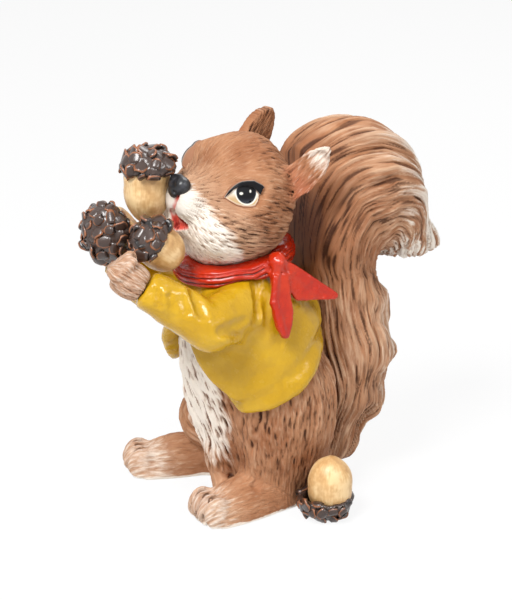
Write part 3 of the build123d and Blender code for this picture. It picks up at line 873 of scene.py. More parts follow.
@dataclass(frozen=True)
class Studio:
    """Camera at the photograph's angle, soft lights, white surroundings and a pale floor."""

    azimuth: float = 60.0
    elevation: float = 20.0
    target: Point = (-1.35, -1.08, 51.73)
    distance: float = 520.0
    lens: float = 120.1
    sensor: float = 36.0
    picture: tuple[int, int] = (512, 600)
    scale: float = 3.85
    world_light: float = 0.3
    sight_reach: float = 80.0
    sight_step: float = 0.1
    lamps: tuple[tuple[str, float, float, float, float, float], ...] = (
        ("key", 25.0, 52.0, 620.0, 280.0, 4.5),
        ("fill", 105.0, 38.0, 700.0, 260.0, 1.7),
        ("rim", 215.0, 48.0, 700.0, 300.0, 1.4),
    )

    def way(self, azimuth: float, elevation: float) -> Array:
        """Direction from the object towards a place round it."""
        turn, rise = math.radians(azimuth), math.radians(elevation)
        return np.array([math.cos(rise) * math.sin(turn), -math.cos(rise) * math.cos(turn), math.sin(rise)])

    def view(self) -> tuple[Array, Array, Array]:
        """Right, up and back of the camera."""
        back = self.way(self.azimuth, self.elevation)
        right = unit(np.cross((0.0, 0.0, 1.0), back))
        return right, np.cross(back, right), back

    def sight(self, pixel: Pair) -> tuple[Array, Array]:
        """Eye and direction of sight through a pixel of the photograph."""
        right, up, back = self.view()
        scale = self.sensor / self.lens / max(self.picture)
        aside = (pixel[0] - self.picture[0] / 2) * scale
        rise = (self.picture[1] / 2 - pixel[1]) * scale
        return np.array(self.target) + back * self.distance, unit(aside * right + rise * up - back)

    def seen(self, points: Array) -> Array:
        """Pixels of the photograph that some points fall on."""
        right, up, back = self.view()
        offset = points - np.array(self.target)
        depth = self.distance - offset @ back
        flat = np.stack([offset @ right, -(offset @ up)], axis=-1) / depth[..., None]
        return flat * (self.lens / self.sensor * max(self.picture)) + 0.5 * np.array(self.picture)

    def onto(self, clay: Clay, block: Array, pixel: Pair) -> Array:
        """Point of a block's skin that a pixel of the photograph looks at."""
        eye, direction = self.sight(pixel)
        near, far = self.distance - self.sight_reach, self.distance + self.sight_reach
        path = eye + direction * np.arange(near, far, self.sight_step)[:, None]
        inside = np.flatnonzero(clay.read(block, path) < 0.0)
        if not len(inside):
            raise ValueError(f"pixel {pixel} looks past the piece")
        return path[inside[0]]

    def build(self) -> None:
        """Makes the camera, the lamps, the world and the floor."""
        scene = bpy.context.scene
        scene.view_settings.view_transform = "Standard"
        camera = bpy.data.objects.new("camera", bpy.data.cameras.new("camera"))
        camera.data.lens = self.lens
        camera.data.sensor_width = self.sensor
        camera.data.clip_start = 0.01
        self._stand(camera, self.azimuth, self.elevation, self.distance)
        scene.camera = camera
        for name, azimuth, elevation, distance, size, power in self.lamps:
            lamp = bpy.data.objects.new(name, bpy.data.lights.new(name, "AREA"))
            lamp.data.shape = "DISK"
            lamp.data.size = size * MM
            lamp.data.energy = power
            self._stand(lamp, azimuth, elevation, distance)
        self._surround()
        self._floor()

    def _stand(self, item: bpy.types.Object, azimuth: float, elevation: float, distance: float) -> None:
        """Stands a camera or a lamp round the object, looking at the target."""
        bpy.context.scene.collection.objects.link(item)
        back = self.way(azimuth, elevation)
        item.location = (np.array(self.target) + back * distance) * MM
        item.rotation_euler = Vector(back).to_track_quat("Z", "Y").to_euler()

    def _looked_at(self, tree: bpy.types.NodeTree) -> bpy.types.NodeSocket:
        """One for rays that see the surroundings: from the camera, or by way of gloss or glass."""
        path = tree.nodes.new("ShaderNodeLightPath")
        total = path.outputs["Is Camera Ray"]
        for label in ("Is Glossy Ray", "Is Transmission Ray"):
            most = tree.nodes.new("ShaderNodeMath")
            most.operation = "MAXIMUM"
            tree.links.new(total, most.inputs[0])
            tree.links.new(path.outputs[label], most.inputs[1])
            total = most.outputs[0]
        return total

    def _surround(self) -> None:
        """White where it is seen, and a plain soft light on the object."""
        world = bpy.data.worlds.new("white")
        bpy.context.scene.world = world
        world.use_nodes = True
        tree = world.node_tree
        tree.nodes.clear()
        blend = tree.nodes.new("ShaderNodeMixShader")
        tree.links.new(self._looked_at(tree), blend.inputs[0])
        for slot, strength in ((1, self.world_light), (2, 1.0)):
            light = tree.nodes.new("ShaderNodeBackground")
            light.inputs["Color"].default_value = (1.0, 1.0, 1.0, 1.0)
            light.inputs["Strength"].default_value = strength
            tree.links.new(light.outputs[0], blend.inputs[slot])
        tree.links.new(blend.outputs[0], tree.nodes.new("ShaderNodeOutputWorld").inputs["Surface"])

    def _floor(self) -> None:
        """A wide white floor that keeps a pale shadow."""
        paint = Paint("floor_white")
        half = 3.0
        corners = [(-half, -half, 0.0), (half, -half, 0.0), (half, half, 0.0), (-half, half, 0.0)]
        mesh = bpy.data.meshes.new("floor")
        mesh.from_pydata(corners, [], [(0, 1, 2, 3)])
        floor = bpy.data.objects.new("floor", mesh)
        bpy.context.scene.collection.objects.link(floor)
        paint.coat(Base_Color=(0.86, 0.86, 0.86), Roughness=0.9)
        glow = paint.node("ShaderNodeEmission", None, {"Color": (1.0, 1.0, 1.0), "Strength": 1.0})
        seen = Wire(paint, self._looked_at(paint.tree))
        blend = paint.node(
            "ShaderNodeMixShader",
            None,
            {0: seen * 0.88, 1: Wire(paint, paint.shader.outputs[0]), 2: Wire(paint, glow.outputs[0])},
        )
        output = next(node for node in paint.tree.nodes if node.type == "OUTPUT_MATERIAL")
        paint.feed(output.inputs["Surface"], Wire(paint, blend.outputs[0]))
        mesh.materials.append(paint.material)


@dataclass(frozen=True)
class Axes:
    """A frame of its own for a part of the figure, with rows left, up and ahead."""

    middle: Point
    rows: Array

    @classmethod
    def head(cls) -> Axes:
        """The head's frame: tipped up, rolled and turned on the neck."""
        pitch, roll, turn = 19.0, 8.0, 3.0
        ahead = spin((0.0, -1.0, 0.0), (1.0, 0.0, 0.0), -pitch)
        left = spin(spin((1.0, 0.0, 0.0), ahead, -roll), (0.0, 0.0, 1.0), turn)
        ahead = spin(ahead, (0.0, 0.0, 1.0), turn)
        return cls((0.0, -9.0, 81.0), np.stack([left, np.cross(ahead, left), ahead]))

    def local(self, points: Array) -> Array:
        """Points in this frame."""
        return (points - np.array(self.middle)) @ self.rows.T

    def world(self, points: Sequence[float]) -> Array:
        """Points of this frame, in the figure's frame."""
        return np.asarray(points, dtype=float) @ self.rows + np.array(self.middle)

    def across(self, point: Array, plane: float = 0.0) -> Array:
        """A point of the figure on the other side of this frame's middle, or of a plane beside it."""
        left, up, ahead = self.local(point)
        return self.world((2.0 * plane - left, up, ahead))

    def flipped(self, way: Array) -> Array:
        """A direction as seen on the other side of this frame."""
        return (self.rows @ way * np.array([-1.0, 1.0, 1.0])) @ self.rows


@dataclass(frozen=True)
class Lay:
    """How the fur lies at some points: across and along the strokes, and a vector for the strands."""

    across: Array
    along: Array
    turn: float
    strands: Array

    @classmethod
    def round(cls, angle: Array, along: Array, radius: float, stretch: float = 6.0) -> Lay:
        """Fur that runs along an axis, with its place across it given by an angle."""
        strands = np.stack([radius * np.cos(angle), radius * np.sin(angle), along / stretch], axis=1)
        return cls(angle * radius, along, 2.0 * math.pi * radius, strands)


@dataclass(frozen=True)
class Tooling:
    """How a region's fur is cut: pitch, length and depth of the strokes, and the height of the locks."""

    seed: int
    width: float = 1.1
    length: float = 6.5
    depth: float = 0.55
    lock: float = 0.3
    lock_size: float = 3.4
    comb: float = 0.14

    def cut(self, lay: Lay) -> dict[str, Array]:
        """Works the fur.

        Args:
            lay: How the fur lies.

        Returns:
            Height, groove, ridge and strand vector at each point.
        """
        grain = Grain(self.seed)
        locks = grain.layers(lay.strands / self.lock_size, 2)
        strands = grain.layers(lay.strands / (0.6 * self.width) + 31.0, 2)
        swing = lay.across + 0.9 * self.width * grain.noise(lay.strands / 4.5 + 7.0)
        coarse = grain.marks(swing, lay.along, self.width, self.length, lay.turn)
        fine = Grain(self.seed + 1).marks(swing, lay.along, 0.55 * self.width, 0.6 * self.length, lay.turn)
        height = self.lock * locks - self.depth * (coarse + 0.35 * fine) + self.comb * strands
        # Colour follows the relief: dark in the strokes and between strands, pale on the crests and on raised
        # locks. This is partly the figurine's dark paint and dry-brushing, and partly painted shade and
        # painted highlight.
        valley, crest = ease(strands, -0.08, -0.5), ease(strands, 0.05, 0.5)
        shading_and_stain = min(1.0, 3.0 * self.comb)
        groove = np.clip(0.55 * coarse + 0.3 * fine + 0.75 * shading_and_stain * valley - 0.2 * locks, 0.0, 1.0)
        ridge = np.clip(0.4 * locks + (0.1 + 0.7 * shading_and_stain) * crest - 0.4 * coarse, 0.0, 1.0)
        return {"height": height, "groove": groove, "ridge": ridge, "lie": lay.strands}


def blended(weights: Sequence[Array], works: Sequence[dict[str, Array]]) -> dict[str, Array]:
    """Several regions' tooling, mixed by weights that need not add up to one."""
    total = np.maximum(sum(weights), 1e-9)
    mixed = {}
    for label in works[0]:
        if works[0][label].ndim == 1:
            mixed[label] = sum(weight * work[label] for weight, work in zip(weights, works)) / total
        else:
            chosen = np.argmax(np.stack(weights), axis=0)
            mixed[label] = np.choose(chosen[:, None], [work[label] for work in works])
    return mixed


@dataclass
class Ground:
    """Ground for fur and cloth: one melted skin, worked and painted whole, then parted into its nodes."""

    finish: bpy.types.Material
    slot: Slot
    ending: str = ""
    nodes: tuple[str, ...] = ()
    cell: float = 0.6
    melt_width: float = 2.6

    def gather(self) -> tuple[Clay, dict[str, Array]]:
        """A grid round the nodes, with each node's distances on it."""
        clay = Clay.around(self.nodes, self.cell)
        return clay, {name: clay.node(name) for name in self.nodes}

    def melted(self, blocks: Iterable[Array]) -> Array:
        """The blocks melted together, one after the other."""
        first, *others = blocks
        for block in others:
            first = melt(first, block, self.melt_width)
        return first

    def weights(
        self, clay: Clay, blocks: dict[str, Array], points: Array, width: float, limit: float
    ) -> list[Array]:
        """How far some points belong to each node.

        Args:
            clay: The grid.
            blocks: Each node's distances.
            points: Where to look.
            width: Distance over which a node gives way to a nearer one.
            limit: Distance past which it gives way no further.

        Returns:
            A weight for each point, for each node.
        """
        gaps = [clay.read(blocks[name], points) for name in self.nodes]
        least = np.min(gaps, axis=0)
        return [np.exp(-np.clip(gap - least, 0.0, limit) / width) for gap in gaps]

    def parted(self, skin: Skin, clay: Clay, blocks: dict[str, Array], rest: Array) -> None:
        """Parts a skin into its nodes, by the node that lies nearest, and publishes each."""
        middle = rest[skin.faces].mean(axis=1)
        nearest = np.stack([clay.read(blocks[name], middle) for name in self.nodes]).argmin(axis=0)
        normals = skin.normals()
        for index, name in enumerate(self.nodes):
            label = f"{name}_{self.ending}"
            piece = skin.part(nearest == index, normals)
            publish(label, piece.mesh(label), self.finish, (name,))


@dataclass
class Fur(Ground):
    """Ground for every furred part."""

    slot: Slot = Slot.FUR
    ending: str = "fur"
    # Darkening in hollows: dark paint the figurine has there, and painted shade.
    wash_shade_rounds: int = 24
    wash_shade_depths: Pair = (-0.12, -0.6)
    wash_shade_strength: float = 0.8

    def wash_and_shade(self, hollow: Array) -> Array:
        """How dark points that lie below the surface round them are painted: the figurine's dark paint in its
        hollows, and painted shade.
        """
        return ease(hollow, *self.wash_shade_depths) * self.wash_shade_strength

    def dress(self, skin: Skin, **values: Array) -> None:
        """Paints values on a skin, with zero for those that are left out."""
        for label in ("groove", "ridge", "cream", "rose", "shade"):
            skin.paint[label] = np.clip(values.get(label, np.zeros(len(skin.points))), 0.0, 1.0)
        skin.paint["lie"] = values["lie"]


@dataclass
class Body(Fur):
    """Standing body: torso, haunches and hind feet."""

    nodes: tuple[str, ...] = ("torso", "left_haunch", "right_haunch", "left_foot", "right_foot")
    feet: tuple[tuple[str, float, float, float], ...] = (
        ("left", 12.5, 1.0, 3.0),
        ("right", -14.0, -2.0, -20.0),
    )
    foot_length: float = 27.0
    foot_radius: float = 8.0
    toe_pitch: float = 2.67
    toe_reach: float = 0.94
    toe_arc: float = 0.012
    toe_height: float = 4.0
    toe_gap: tuple[Pair, ...] = ((0.68, 9.4), (0.93, 6.6), (1.05, 1.5))
    toe_gap_radii: Pair = (0.5, 0.9)
    toe_gap_edge: float = 0.9
    thigh_groove: float = 1.0
    tuft_radii: Pair = (3.2, 1.6)
    thigh_pixels: tuple[Pair, ...] = ((259.0, 414.0), (253.0, 448.0), (256.0, 486.0))
    tuft_root: Point = (3.0, -15.5, 13.0)
    tuft_tip: Point = (6.5, -16.5, 4.0)
    far_thigh: Point = (-12.5, -11.5, 17.5)
    far_thigh_sizes: Point = (5.5, 6.0, 8.5)
    toe_sizes: Point = (1.9, 4.0, 4.4)
    torso_axis: float = -1.0
    torso_radius: float = 17.0
    haunch_axis: Pair = (9.0, 1.0)
    haunch_sweep: float = 2.5
    haunch_radius: float = 13.0
    fur_slant: float = 0.018
    fur_level: float = 20.0
    fur_stretch: float = 5.5
    tool_blend: Pair = (1.1, 8.0)
    paint_blend: Pair = (2.6, 12.0)
    torso_tool: Tooling = Tooling(
        seed=11, width=1.3, length=5.5, depth=0.65, lock=0.8, lock_size=2.8, comb=0.32
    )
    haunch_tool: Tooling = Tooling(
        seed=21, width=1.1, length=4.5, depth=0.45, lock=0.5, lock_size=2.8, comb=0.26
    )
    foot_tool: Tooling = Tooling(
        seed=31, width=0.8, length=4.0, depth=0.2, lock=0.15, lock_size=3.0, comb=0.1
    )

    def foot_axes(self, out: float, back: float, splay: float) -> tuple[Array, Array, Array]:
        """Heel, direction to the toes and direction across a foot."""
        ahead = spin((0.0, -1.0, 0.0), (0.0, 0.0, 1.0), splay)
        return np.array([out, back, 0.0]), ahead, np.cross(ahead, (0.0, 0.0, -1.0))

    def sculpt(self, clay: Clay, whole: Array, studio: Studio) -> Array:
        """Adds the tuft between the legs and the toes, and cuts between them and along the thighs."""
        place = clay.place()
        thigh = np.stack([studio.onto(clay, whole, pixel) for pixel in self.thigh_pixels])
        whole = melt(whole, rod(place, self.tuft_root, self.tuft_tip, *self.tuft_radii), 2.5)
        whole = melt(whole, ball(place, self.far_thigh, self.far_thigh_sizes), 2.0)
        for side in (1.0, -1.0):
            line = thigh * np.array([side, 1.0, 1.0])
            for first, second in zip(line, line[1:]):
                whole = carve(whole, rod(place, first, second, self.thigh_groove), 1.4)
        for _, out, back, splay in self.feet:
            heel, ahead, across = self.foot_axes(out, back, splay)
            for index in (-1.5, -0.5, 0.5, 1.5):
                reach = (self.toe_reach - self.toe_arc * index * index) * self.foot_length
                middle = heel + across * (index * self.toe_pitch) + ahead * reach
                axes = np.stack([across, ahead, np.array([0.0, 0.0, 1.0])])
                toe = ball(place, middle + (0.0, 0.0, self.toe_height), self.toe_sizes, axes)
                whole = melt(whole, toe, 0.8)
            for index in (-1, 0, 1):
                aside = heel + across * (index * self.toe_pitch)
                start, middle, end = (
                    aside + ahead * (share * self.foot_length) + np.array([0.0, 0.0, height])
                    for share, height in self.toe_gap
                )
                whole = carve(whole, rod(place, start, middle, *self.toe_gap_radii), self.toe_gap_edge)
                whole = carve(whole, rod(place, middle, end, self.toe_gap_radii[1]), self.toe_gap_edge)
        return np.maximum(whole, -place[..., 2])

    def lays(self, points: Array) -> dict[str, Lay]:
        """How the fur lies on each node."""
        lays = {}
        turn = np.arctan2(points[:, 0], self.torso_axis - points[:, 1])
        slant = self.fur_slant * (points[:, 2] - self.fur_level) * np.cos(turn)
        lays["torso"] = Lay.round(turn + slant, points[:, 2], self.torso_radius, self.fur_stretch)
        for (side, out, back, splay), sign in zip(self.feet, (1.0, -1.0)):
            axis_out, axis_back = self.haunch_axis
            inner = np.arctan2(sign * (points[:, 0] - sign * axis_out), axis_back - points[:, 1])
            along = points[:, 2] - self.haunch_sweep * np.cos(inner)
            lays[f"{side}_haunch"] = Lay.round(inner, along, self.haunch_radius, self.fur_stretch)
            heel, ahead, across = self.foot_axes(out, back, splay)
            offset = points - heel
            roll = np.arctan2(offset @ across, offset[:, 2] + 2.0)
            lays[f"{side}_foot"] = Lay.round(roll, offset @ ahead, self.foot_radius)
        return lays

    def build(self, studio: Studio) -> None:
        """Makes the five pieces."""
        clay, blocks = self.gather()
        skin = clay.skin(self.sculpt(clay, clay.soften(self.melted(blocks.values()), 1), studio))
        rest = skin.points.copy()
        tools = {
            "torso": self.torso_tool,
            "left_haunch": self.haunch_tool,
            "right_haunch": replace(self.haunch_tool, seed=23),
            "left_foot": self.foot_tool,
            "right_foot": replace(self.foot_tool, seed=33),
        }
        lays = self.lays(rest)
        works = [tools[name].cut(lays[name]) for name in self.nodes]
        work = blended(self.weights(clay, blocks, rest, *self.tool_blend), works)
        broad = self.weights(clay, blocks, rest, *self.paint_blend)
        share = [weight / sum(broad) for weight in broad]
        low = ease(rest[:, 2], 0.2, 1.6)
        skin.push(work["height"] * low)
        turn = np.abs(np.arctan2(rest[:, 0] - 1.0, self.torso_axis - rest[:, 1]))
        mottle = Grain(41).layers(lays["torso"].strands / 2.6, 3)
        front = ease(turn + 0.35 * mottle, 1.0, 0.25) * ease(rest[:, 2] + 3.0 * mottle, 2.0, 20.0)
        feet = share[3] + share[4]
        haunches = share[1] + share[2]
        hollow = cavity(skin, self.wash_shade_rounds)
        toes = feet * ease(rest[:, 1], -14.0, -24.0)
        edge = ease(rest[:, 2] + 0.5 * mottle, 1.3, 0.3)
        belly = front * (1.0 - 0.9 * haunches) * (1.0 - feet) * (1.0 - 0.3 * work["groove"])
        self.dress(
            skin,
            # Dark in the strokes and hollows: the figurine's dark paint there, and painted shade.
            groove=work["groove"] * (0.72 - 0.3 * feet) + self.wash_and_shade(hollow) * low,
            ridge=work["ridge"] * (1.0 - 0.3 * haunches) + 0.7 * toes,
            cream=belly + 1.2 * edge + 0.5 * toes,
            # Darker, warmer brown on the haunches, most low down, and on the lower body towards the floor,
            # but not on the feet.
            shade=haunches * (0.7 - 0.02 * rest[:, 2]) + 0.3 * ease(rest[:, 2], 14.0, 2.0) * (1.0 - feet),
            lie=work["lie"],
        )
        self.parted(skin, clay, blocks, rest)


@dataclass
class Tail(Fur):
    """Upright stem with a plume that fans over backwards round a pinch point."""

    nodes: tuple[str, ...] = ("tail",)
    cell: float = 0.72
    wash_shade_rounds: int = 30
    wash_shade_depths: Pair = (-0.2, -0.9)
    wash_shade_strength: float = 0.7
    pinch: Point = (-3.5, 34.5, 57.5)
    stem_levels: tuple[float, ...] = (4.0, 12.0, 20.0, 40.0, 57.5)
    stem_backs: tuple[float, ...] = (19.5, 21.3, 23.0, 24.0, 22.5)
    plume_angles: tuple[float, ...] = (0.0, 18.0, 42.0, 68.0, 95.0, 122.0, 150.0, 180.0)
    plume_middles: tuple[float, ...] = (11.8, 10.8, 10.8, 15.5, 20.3, 20.8, 16.4, 12.0)
    plume_radius: float = 22.0
    lean_level: float = 20.0
    radius: float = 17.0
    stretch: float = 11.0
    tool: Tooling = Tooling(seed=51, width=1.3, length=13.0, depth=0.45, lock=0.7, lock_size=3.4, comb=0.4)

    def course(self, points: Array) -> tuple[Array, Array, Array]:
        """Follows the fur from the root to the end of the plume.

        Args:
            points: Positions on the tail.

        Returns:
            Distance along the tail, angle round the pinch point and angle round the tail's own line.
        """
        side, back, rise = (points - np.array(self.pinch)).T
        angle = np.arctan2(rise, back)
        plume = (rise > 0.0) | ((back > 2.5) & (rise > -12.0))
        middle = np.interp(np.degrees(angle), self.plume_angles, self.plume_middles)
        round_plume = np.arctan2(side, np.hypot(back, rise) - middle)
        stem_back = np.interp(points[:, 2], self.stem_levels, self.stem_backs)
        lean = self.pinch[0] * ease(points[:, 2], self.lean_level, self.pinch[2])
        round_stem = np.arctan2(points[:, 0] - lean, stem_back - points[:, 1])
        turn = np.where(plume, round_plume, round_stem)
        along = np.where(plume, self.pinch[2] + (math.pi - angle) * self.plume_radius, points[:, 2])
        return along, np.where(plume, angle, math.pi), turn

    def build(self) -> None:
        """Makes the tail."""
        clay, blocks = self.gather()
        skin = clay.skin(clay.soften(self.melted(blocks.values()), 2))
        rest = skin.points.copy()
        along, angle, turn = self.course(rest)
        grain = Grain(57)
        wave = np.stack([2.0 * np.cos(turn), 2.0 * np.sin(turn), along / 16.0], axis=1)
        swing = 2.2 * grain.noise(wave) + 1.2 * np.sin(along / 9.0 + 2.0 * np.sin(turn))
        lay = Lay.round(turn + swing / self.radius, along, self.radius, self.stretch)
        work = self.tool.cut(lay)
        stem = ease(rest[:, 2], 60.0, 48.0)
        tufts = np.sin(2.0 * math.pi * (along / 15.0 + turn / 2.4 + 0.25 * grain.noise(wave * 1.7)))
        back = ease(np.cos(turn), 0.3, -0.7)
        lift = work["height"] + stem * (0.35 + 0.9 * back) * np.clip(tufts, -0.6, 1.0)
        seat = ease(rest[:, 1], 12.4, 14.0)
        skin.push(lift * seat * ease(rest[:, 2], 4.0, 14.0))
        hollow = cavity(skin, self.wash_shade_rounds)
        bleach = ease(angle, 2.6, 0.9) * (1.0 - stem) + stem * (0.3 + 0.5 * back)
        tip = ease(angle, 2.3, 0.6) * (1.0 - stem) + 0.5 * stem * back
        mottle = grain.layers(lay.strands / 2.2, 3)
        # The head's painted shadow on the tail beside it.
        beside = ease(rest[:, 1], 22.0, 12.0) * ease(rest[:, 2], 50.0, 66.0)
        self.dress(
            skin,
            # Dark in grooves and hollows, which is partly painted shade, and in the head's painted shadow.
            groove=0.68 * work["groove"] + self.wash_and_shade(hollow) + 0.15 * beside,
            ridge=work["ridge"] * (0.8 + 0.6 * bleach) + 0.7 * bleach * ease(mottle, -0.6, 0.4),
            cream=tip * (0.3 + 0.7 * ease(mottle + work["ridge"], -0.2, 0.6)),
            # The head's painted shadow, and darker towards the front of the plume; less where the tail is
            # pale.
            shade=0.75 * beside + 0.35 * ease(angle, 1.2, 2.4) * (1.0 - stem) - 0.5 * bleach,
            lie=work["lie"],
        )
        self.parted(skin, clay, blocks, rest)


@dataclass
class Head(Fur):
    """Head and ears, with cheeks, brows, muzzle pads, mouth and eye sockets."""

    nodes: tuple[str, ...] = ("head", "left_ear", "right_ear")
    cell: float = 0.52
    melt_width: float = 2.0
    tool_blend: Pair = (0.8, 8.0)
    axes: Axes = field(default_factory=Axes.head)
    snout: Point = (1.5, -1.8, 19.5)
    snout_out: float = 1.5
    face_radius: float = 15.0
    face_tool: Tooling = Tooling(
        seed=61, width=0.8, length=3.4, depth=0.42, lock=0.16, lock_size=3.0, comb=0.18
    )
    ear_radius: float = 4.5
    ear_tool: Tooling = Tooling(seed=71, width=0.9, length=5.0, depth=0.3, lock=0.16, lock_size=2.6)
    ear_root: Point = (11.0, 5.5, -6.5)
    ear_rise: Point = (3.8, 16.7, -5.7)
    ear_turns: Pair = (49.0, 75.0)
    ear_half_widths: Pair = (4.1, 5.6)
    ear_half_length: float = 9.6
    ear_middle: float = 8.6
    ear_length: float = 18.0
    eye_pixel: Pair = (245.8, 193.0)
    pad_pixel: Pair = (190.0, 208.0)
    mouth_pixels: tuple[Pair, ...] = ((172.5, 214.5), (175.0, 225.0), (184.5, 226.0))
    lip_pixels: tuple[Pair, ...] = ((177.3, 196.0), (174.2, 203.0), (172.8, 210.5))
    mouth_cuts: tuple[Stroke, ...] = ((0, 1, 1.1, 1.2), (0, 2, 1.0, 0.7), (1, 2, 1.1, 0.7))
    mouth_reds: tuple[Stroke, ...] = ((0, 1, 1.5, 1.5), (0, 2, 1.3, 1.0), (1, 2, 1.5, 1.0))
    mouth_pits: tuple[Stroke, ...] = ((0, 2, 1.1, 0.7), (0, 1, 0.9, 1.2))
    lip_cuts: tuple[Stroke, ...] = ((0, 1, 0.6, 0.55), (1, 2, 0.55, 0.5))
    lip_reds: tuple[Stroke, ...] = ((0, 1, 0.75, 0.6), (1, 2, 0.6, 0.5))
    pad_sizes: Point = (3.5, 3.5, 3.6)
    pad_sunk: float = 2.3
    pad_melt: float = 1.2
    socket_sizes: Point = (2.2, 3.6, 5.2)
    socket_out: float = 1.7
    socket_edge: float = 2.2
    tooth_sizes: Point = (1.1, 1.1, 1.3)

    def lumps(self) -> Iterable[tuple[Point, Point, float]]:
        """Swellings of the face in its own frame: middle, half sizes and the width of their blend."""
        for side in (1.0, -1.0):
            yield (side * 9.0, -6.2, 6.6), (6.2, 6.2, 7.0), 3.0
            yield (side * 9.0, 8.2, 5.0), (3.6, 1.6, 3.4), 2.6
        yield (-2.5, 4.0, 4.6), (9.0, 9.2, 5.0), 5.0
        yield (self.snout_out, -8.9, 12.6), (3.8, 2.8, 3.4), 1.8

    def sculpt(self, clay: Clay, whole: Array, studio: Studio) -> tuple[Array, Array, Array]:
        """Shapes the face.

        Args:
            clay: The block's grid.
            whole: Head and ears, melted.
            studio: Camera, to place the features.

        Returns:
            The shaped block, with the mouth's and the lip's points.
        """
        place = clay.place()
        for middle, sizes, width in self.lumps():
            whole = melt(whole, ball(place, self.axes.world(middle), sizes, self.axes.rows), width)
        pad = studio.onto(clay, whole, self.pad_pixel)
        pad = pad - clay.slope(whole, pad[None])[0] * self.pad_sunk
        for middle in (pad, self.axes.across(pad, self.snout_out)):
            whole = melt(whole, ball(place, middle, self.pad_sizes, self.axes.rows), self.pad_melt)
        eye = studio.onto(clay, whole, self.eye_pixel)
        for middle in (eye, self.axes.across(eye)):
            hollow = middle + clay.slope(whole, middle[None])[0] * self.socket_out
            whole = carve(whole, ball(place, hollow, self.socket_sizes, self.axes.rows), self.socket_edge)
        mouth = np.stack([studio.onto(clay, whole, pixel) for pixel in self.mouth_pixels])
        lip = np.stack([studio.onto(clay, whole, pixel) for pixel in self.lip_pixels])
        for tool in self.strokes(place, mouth, self.mouth_cuts):
            whole = carve(whole, tool, 0.7)
        for tool in self.strokes(place, lip, self.lip_cuts):
            whole = carve(whole, tool, 0.6)
        return whole, mouth, lip

    def strokes(self, place: Array, line: Array, table: Iterable[Stroke]) -> list[Array]:
        """Distances to tapered strokes between numbered points of a line."""
        return [rod(place, line[first], line[second], start, end) for first, second, start, end in table]

    def build(self, studio: Studio) -> tuple[Clay, Array]:
        """Makes the head and the ears.

        Args:
            studio: Camera, to place the mouth.

        Returns:
            The head's grid and its shaped block, for what is set on the face.
        """
        clay, blocks = self.gather()
        for name, sign in (("left_ear", 1.0), ("right_ear", -1.0)):
            blocks[name] = np.maximum(blocks[name], self._ear_leaf(clay.place(), sign))
        whole, mouth, lip = self.sculpt(clay, clay.soften(self.melted(blocks.values()), 1), studio)
        skin = clay.skin(whole)
        rest = skin.points.copy()
        local = self.axes.local(rest)
        _, up, ahead = local.T
        offset = local - np.array(self.snout)
        reach = np.linalg.norm(offset, axis=1)
        turn = np.arctan2(offset[:, 0], offset[:, 1])
        face = self.face_tool.cut(Lay.round(turn, -reach, self.face_radius, 5.0))
        weights = self.weights(clay, blocks, rest, *self.tool_blend)
        works = [face]
        for name in self.nodes[1:]:
            sign = 1.0 if name.startswith("left") else -1.0
            root, rise, _, aside = self._ear_axes(sign)
            away = local - root
            lay = Lay.round(away @ aside / self.ear_radius, away @ rise, self.ear_radius, 5.0)
            works.append(self.ear_tool.cut(lay))
        work = blended(weights, works)
        ears = 1.0 - weights[0] / sum(weights)
        eye = studio.onto(clay, whole, self.eye_pixel)
        near_eye = [np.linalg.norm(rest - middle, axis=1) for middle in (eye, self.axes.across(eye))]
        calm = ease(np.min(near_eye, axis=0), 4.8, 7.5) * (0.25 + 0.75 * ease(reach, 4.0, 9.0))
        calm = calm * (1.0 - 0.5 * ease(up, 2.0, 9.0) * ease(ahead, -4.0, 6.0))
        skin.push(work["height"] * calm)
        mottle = Grain(67).layers(work["lie"] / 2.2, 3)
        white = 0.62 * (ahead - 8.0) - 0.78 * (up + 3.5)
        cream = ease(white + 1.3 * mottle, -2.4, 3.4)
        pit = np.min(self.strokes(rest, mouth, self.mouth_pits), axis=0)
        red = self.strokes(rest, mouth, self.mouth_reds) + self.strokes(rest, lip, self.lip_reds)
        red = np.min(red, axis=0)
        tooth = ease(ball(rest, mouth[0], self.tooth_sizes), 0.3, -0.1)
        hollow = cavity(skin, self.wash_shade_rounds)
        dish = self._ear_dish(rest, ears)
        height = self._ear_rise(rest)
        # Darker in the hollows, less in the ear dishes: the figurine's dark paint there, and painted shade.
        sunk = self.wash_and_shade(hollow) * (1.0 - 0.8 * dish)
        self.dress(
            skin,
            groove=(work["groove"] * calm * (1.0 - 0.3 * dish) + ease(pit, 0.3, -0.2)) * (1.0 - tooth) + sunk,
            ridge=work["ridge"] * 0.5 + 0.55 * ease(white + mottle, -9.0, -1.0) * (1.0 - ears),
            cream=np.where(ears > 0.5, dish * (0.26 + 0.36 * ease(height, 10.0, 15.0)), cream) + tooth,
            rose=ease(red, 0.3, -0.3) * (1.0 - tooth) + 0.16 * dish * ease(height, 12.0, 4.0),
            # Darker on top of the head and on the ears.
            shade=0.2 * ease(up, 4.0, 14.0) + 0.2 * ears,
            lie=work["lie"],
        )
        self.parted(skin, clay, blocks, rest)
        return clay, whole

    def _ear_axes(self, sign: float) -> tuple[Array, Array, Array, Array]:
        """Root of an ear, with the directions to its tip, out of its dish and across it."""
        mirror = np.array([sign, 1.0, 1.0])
        rise = unit(self.ear_rise * mirror)
        facing = spin((0.0, 0.0, 1.0), (0.0, 1.0, 0.0), sign * self.ear_turns[int(sign < 0.0)])
        facing = unit(facing - rise * facing.dot(rise))
        return self.ear_root * mirror, rise, facing, np.cross(rise, facing)

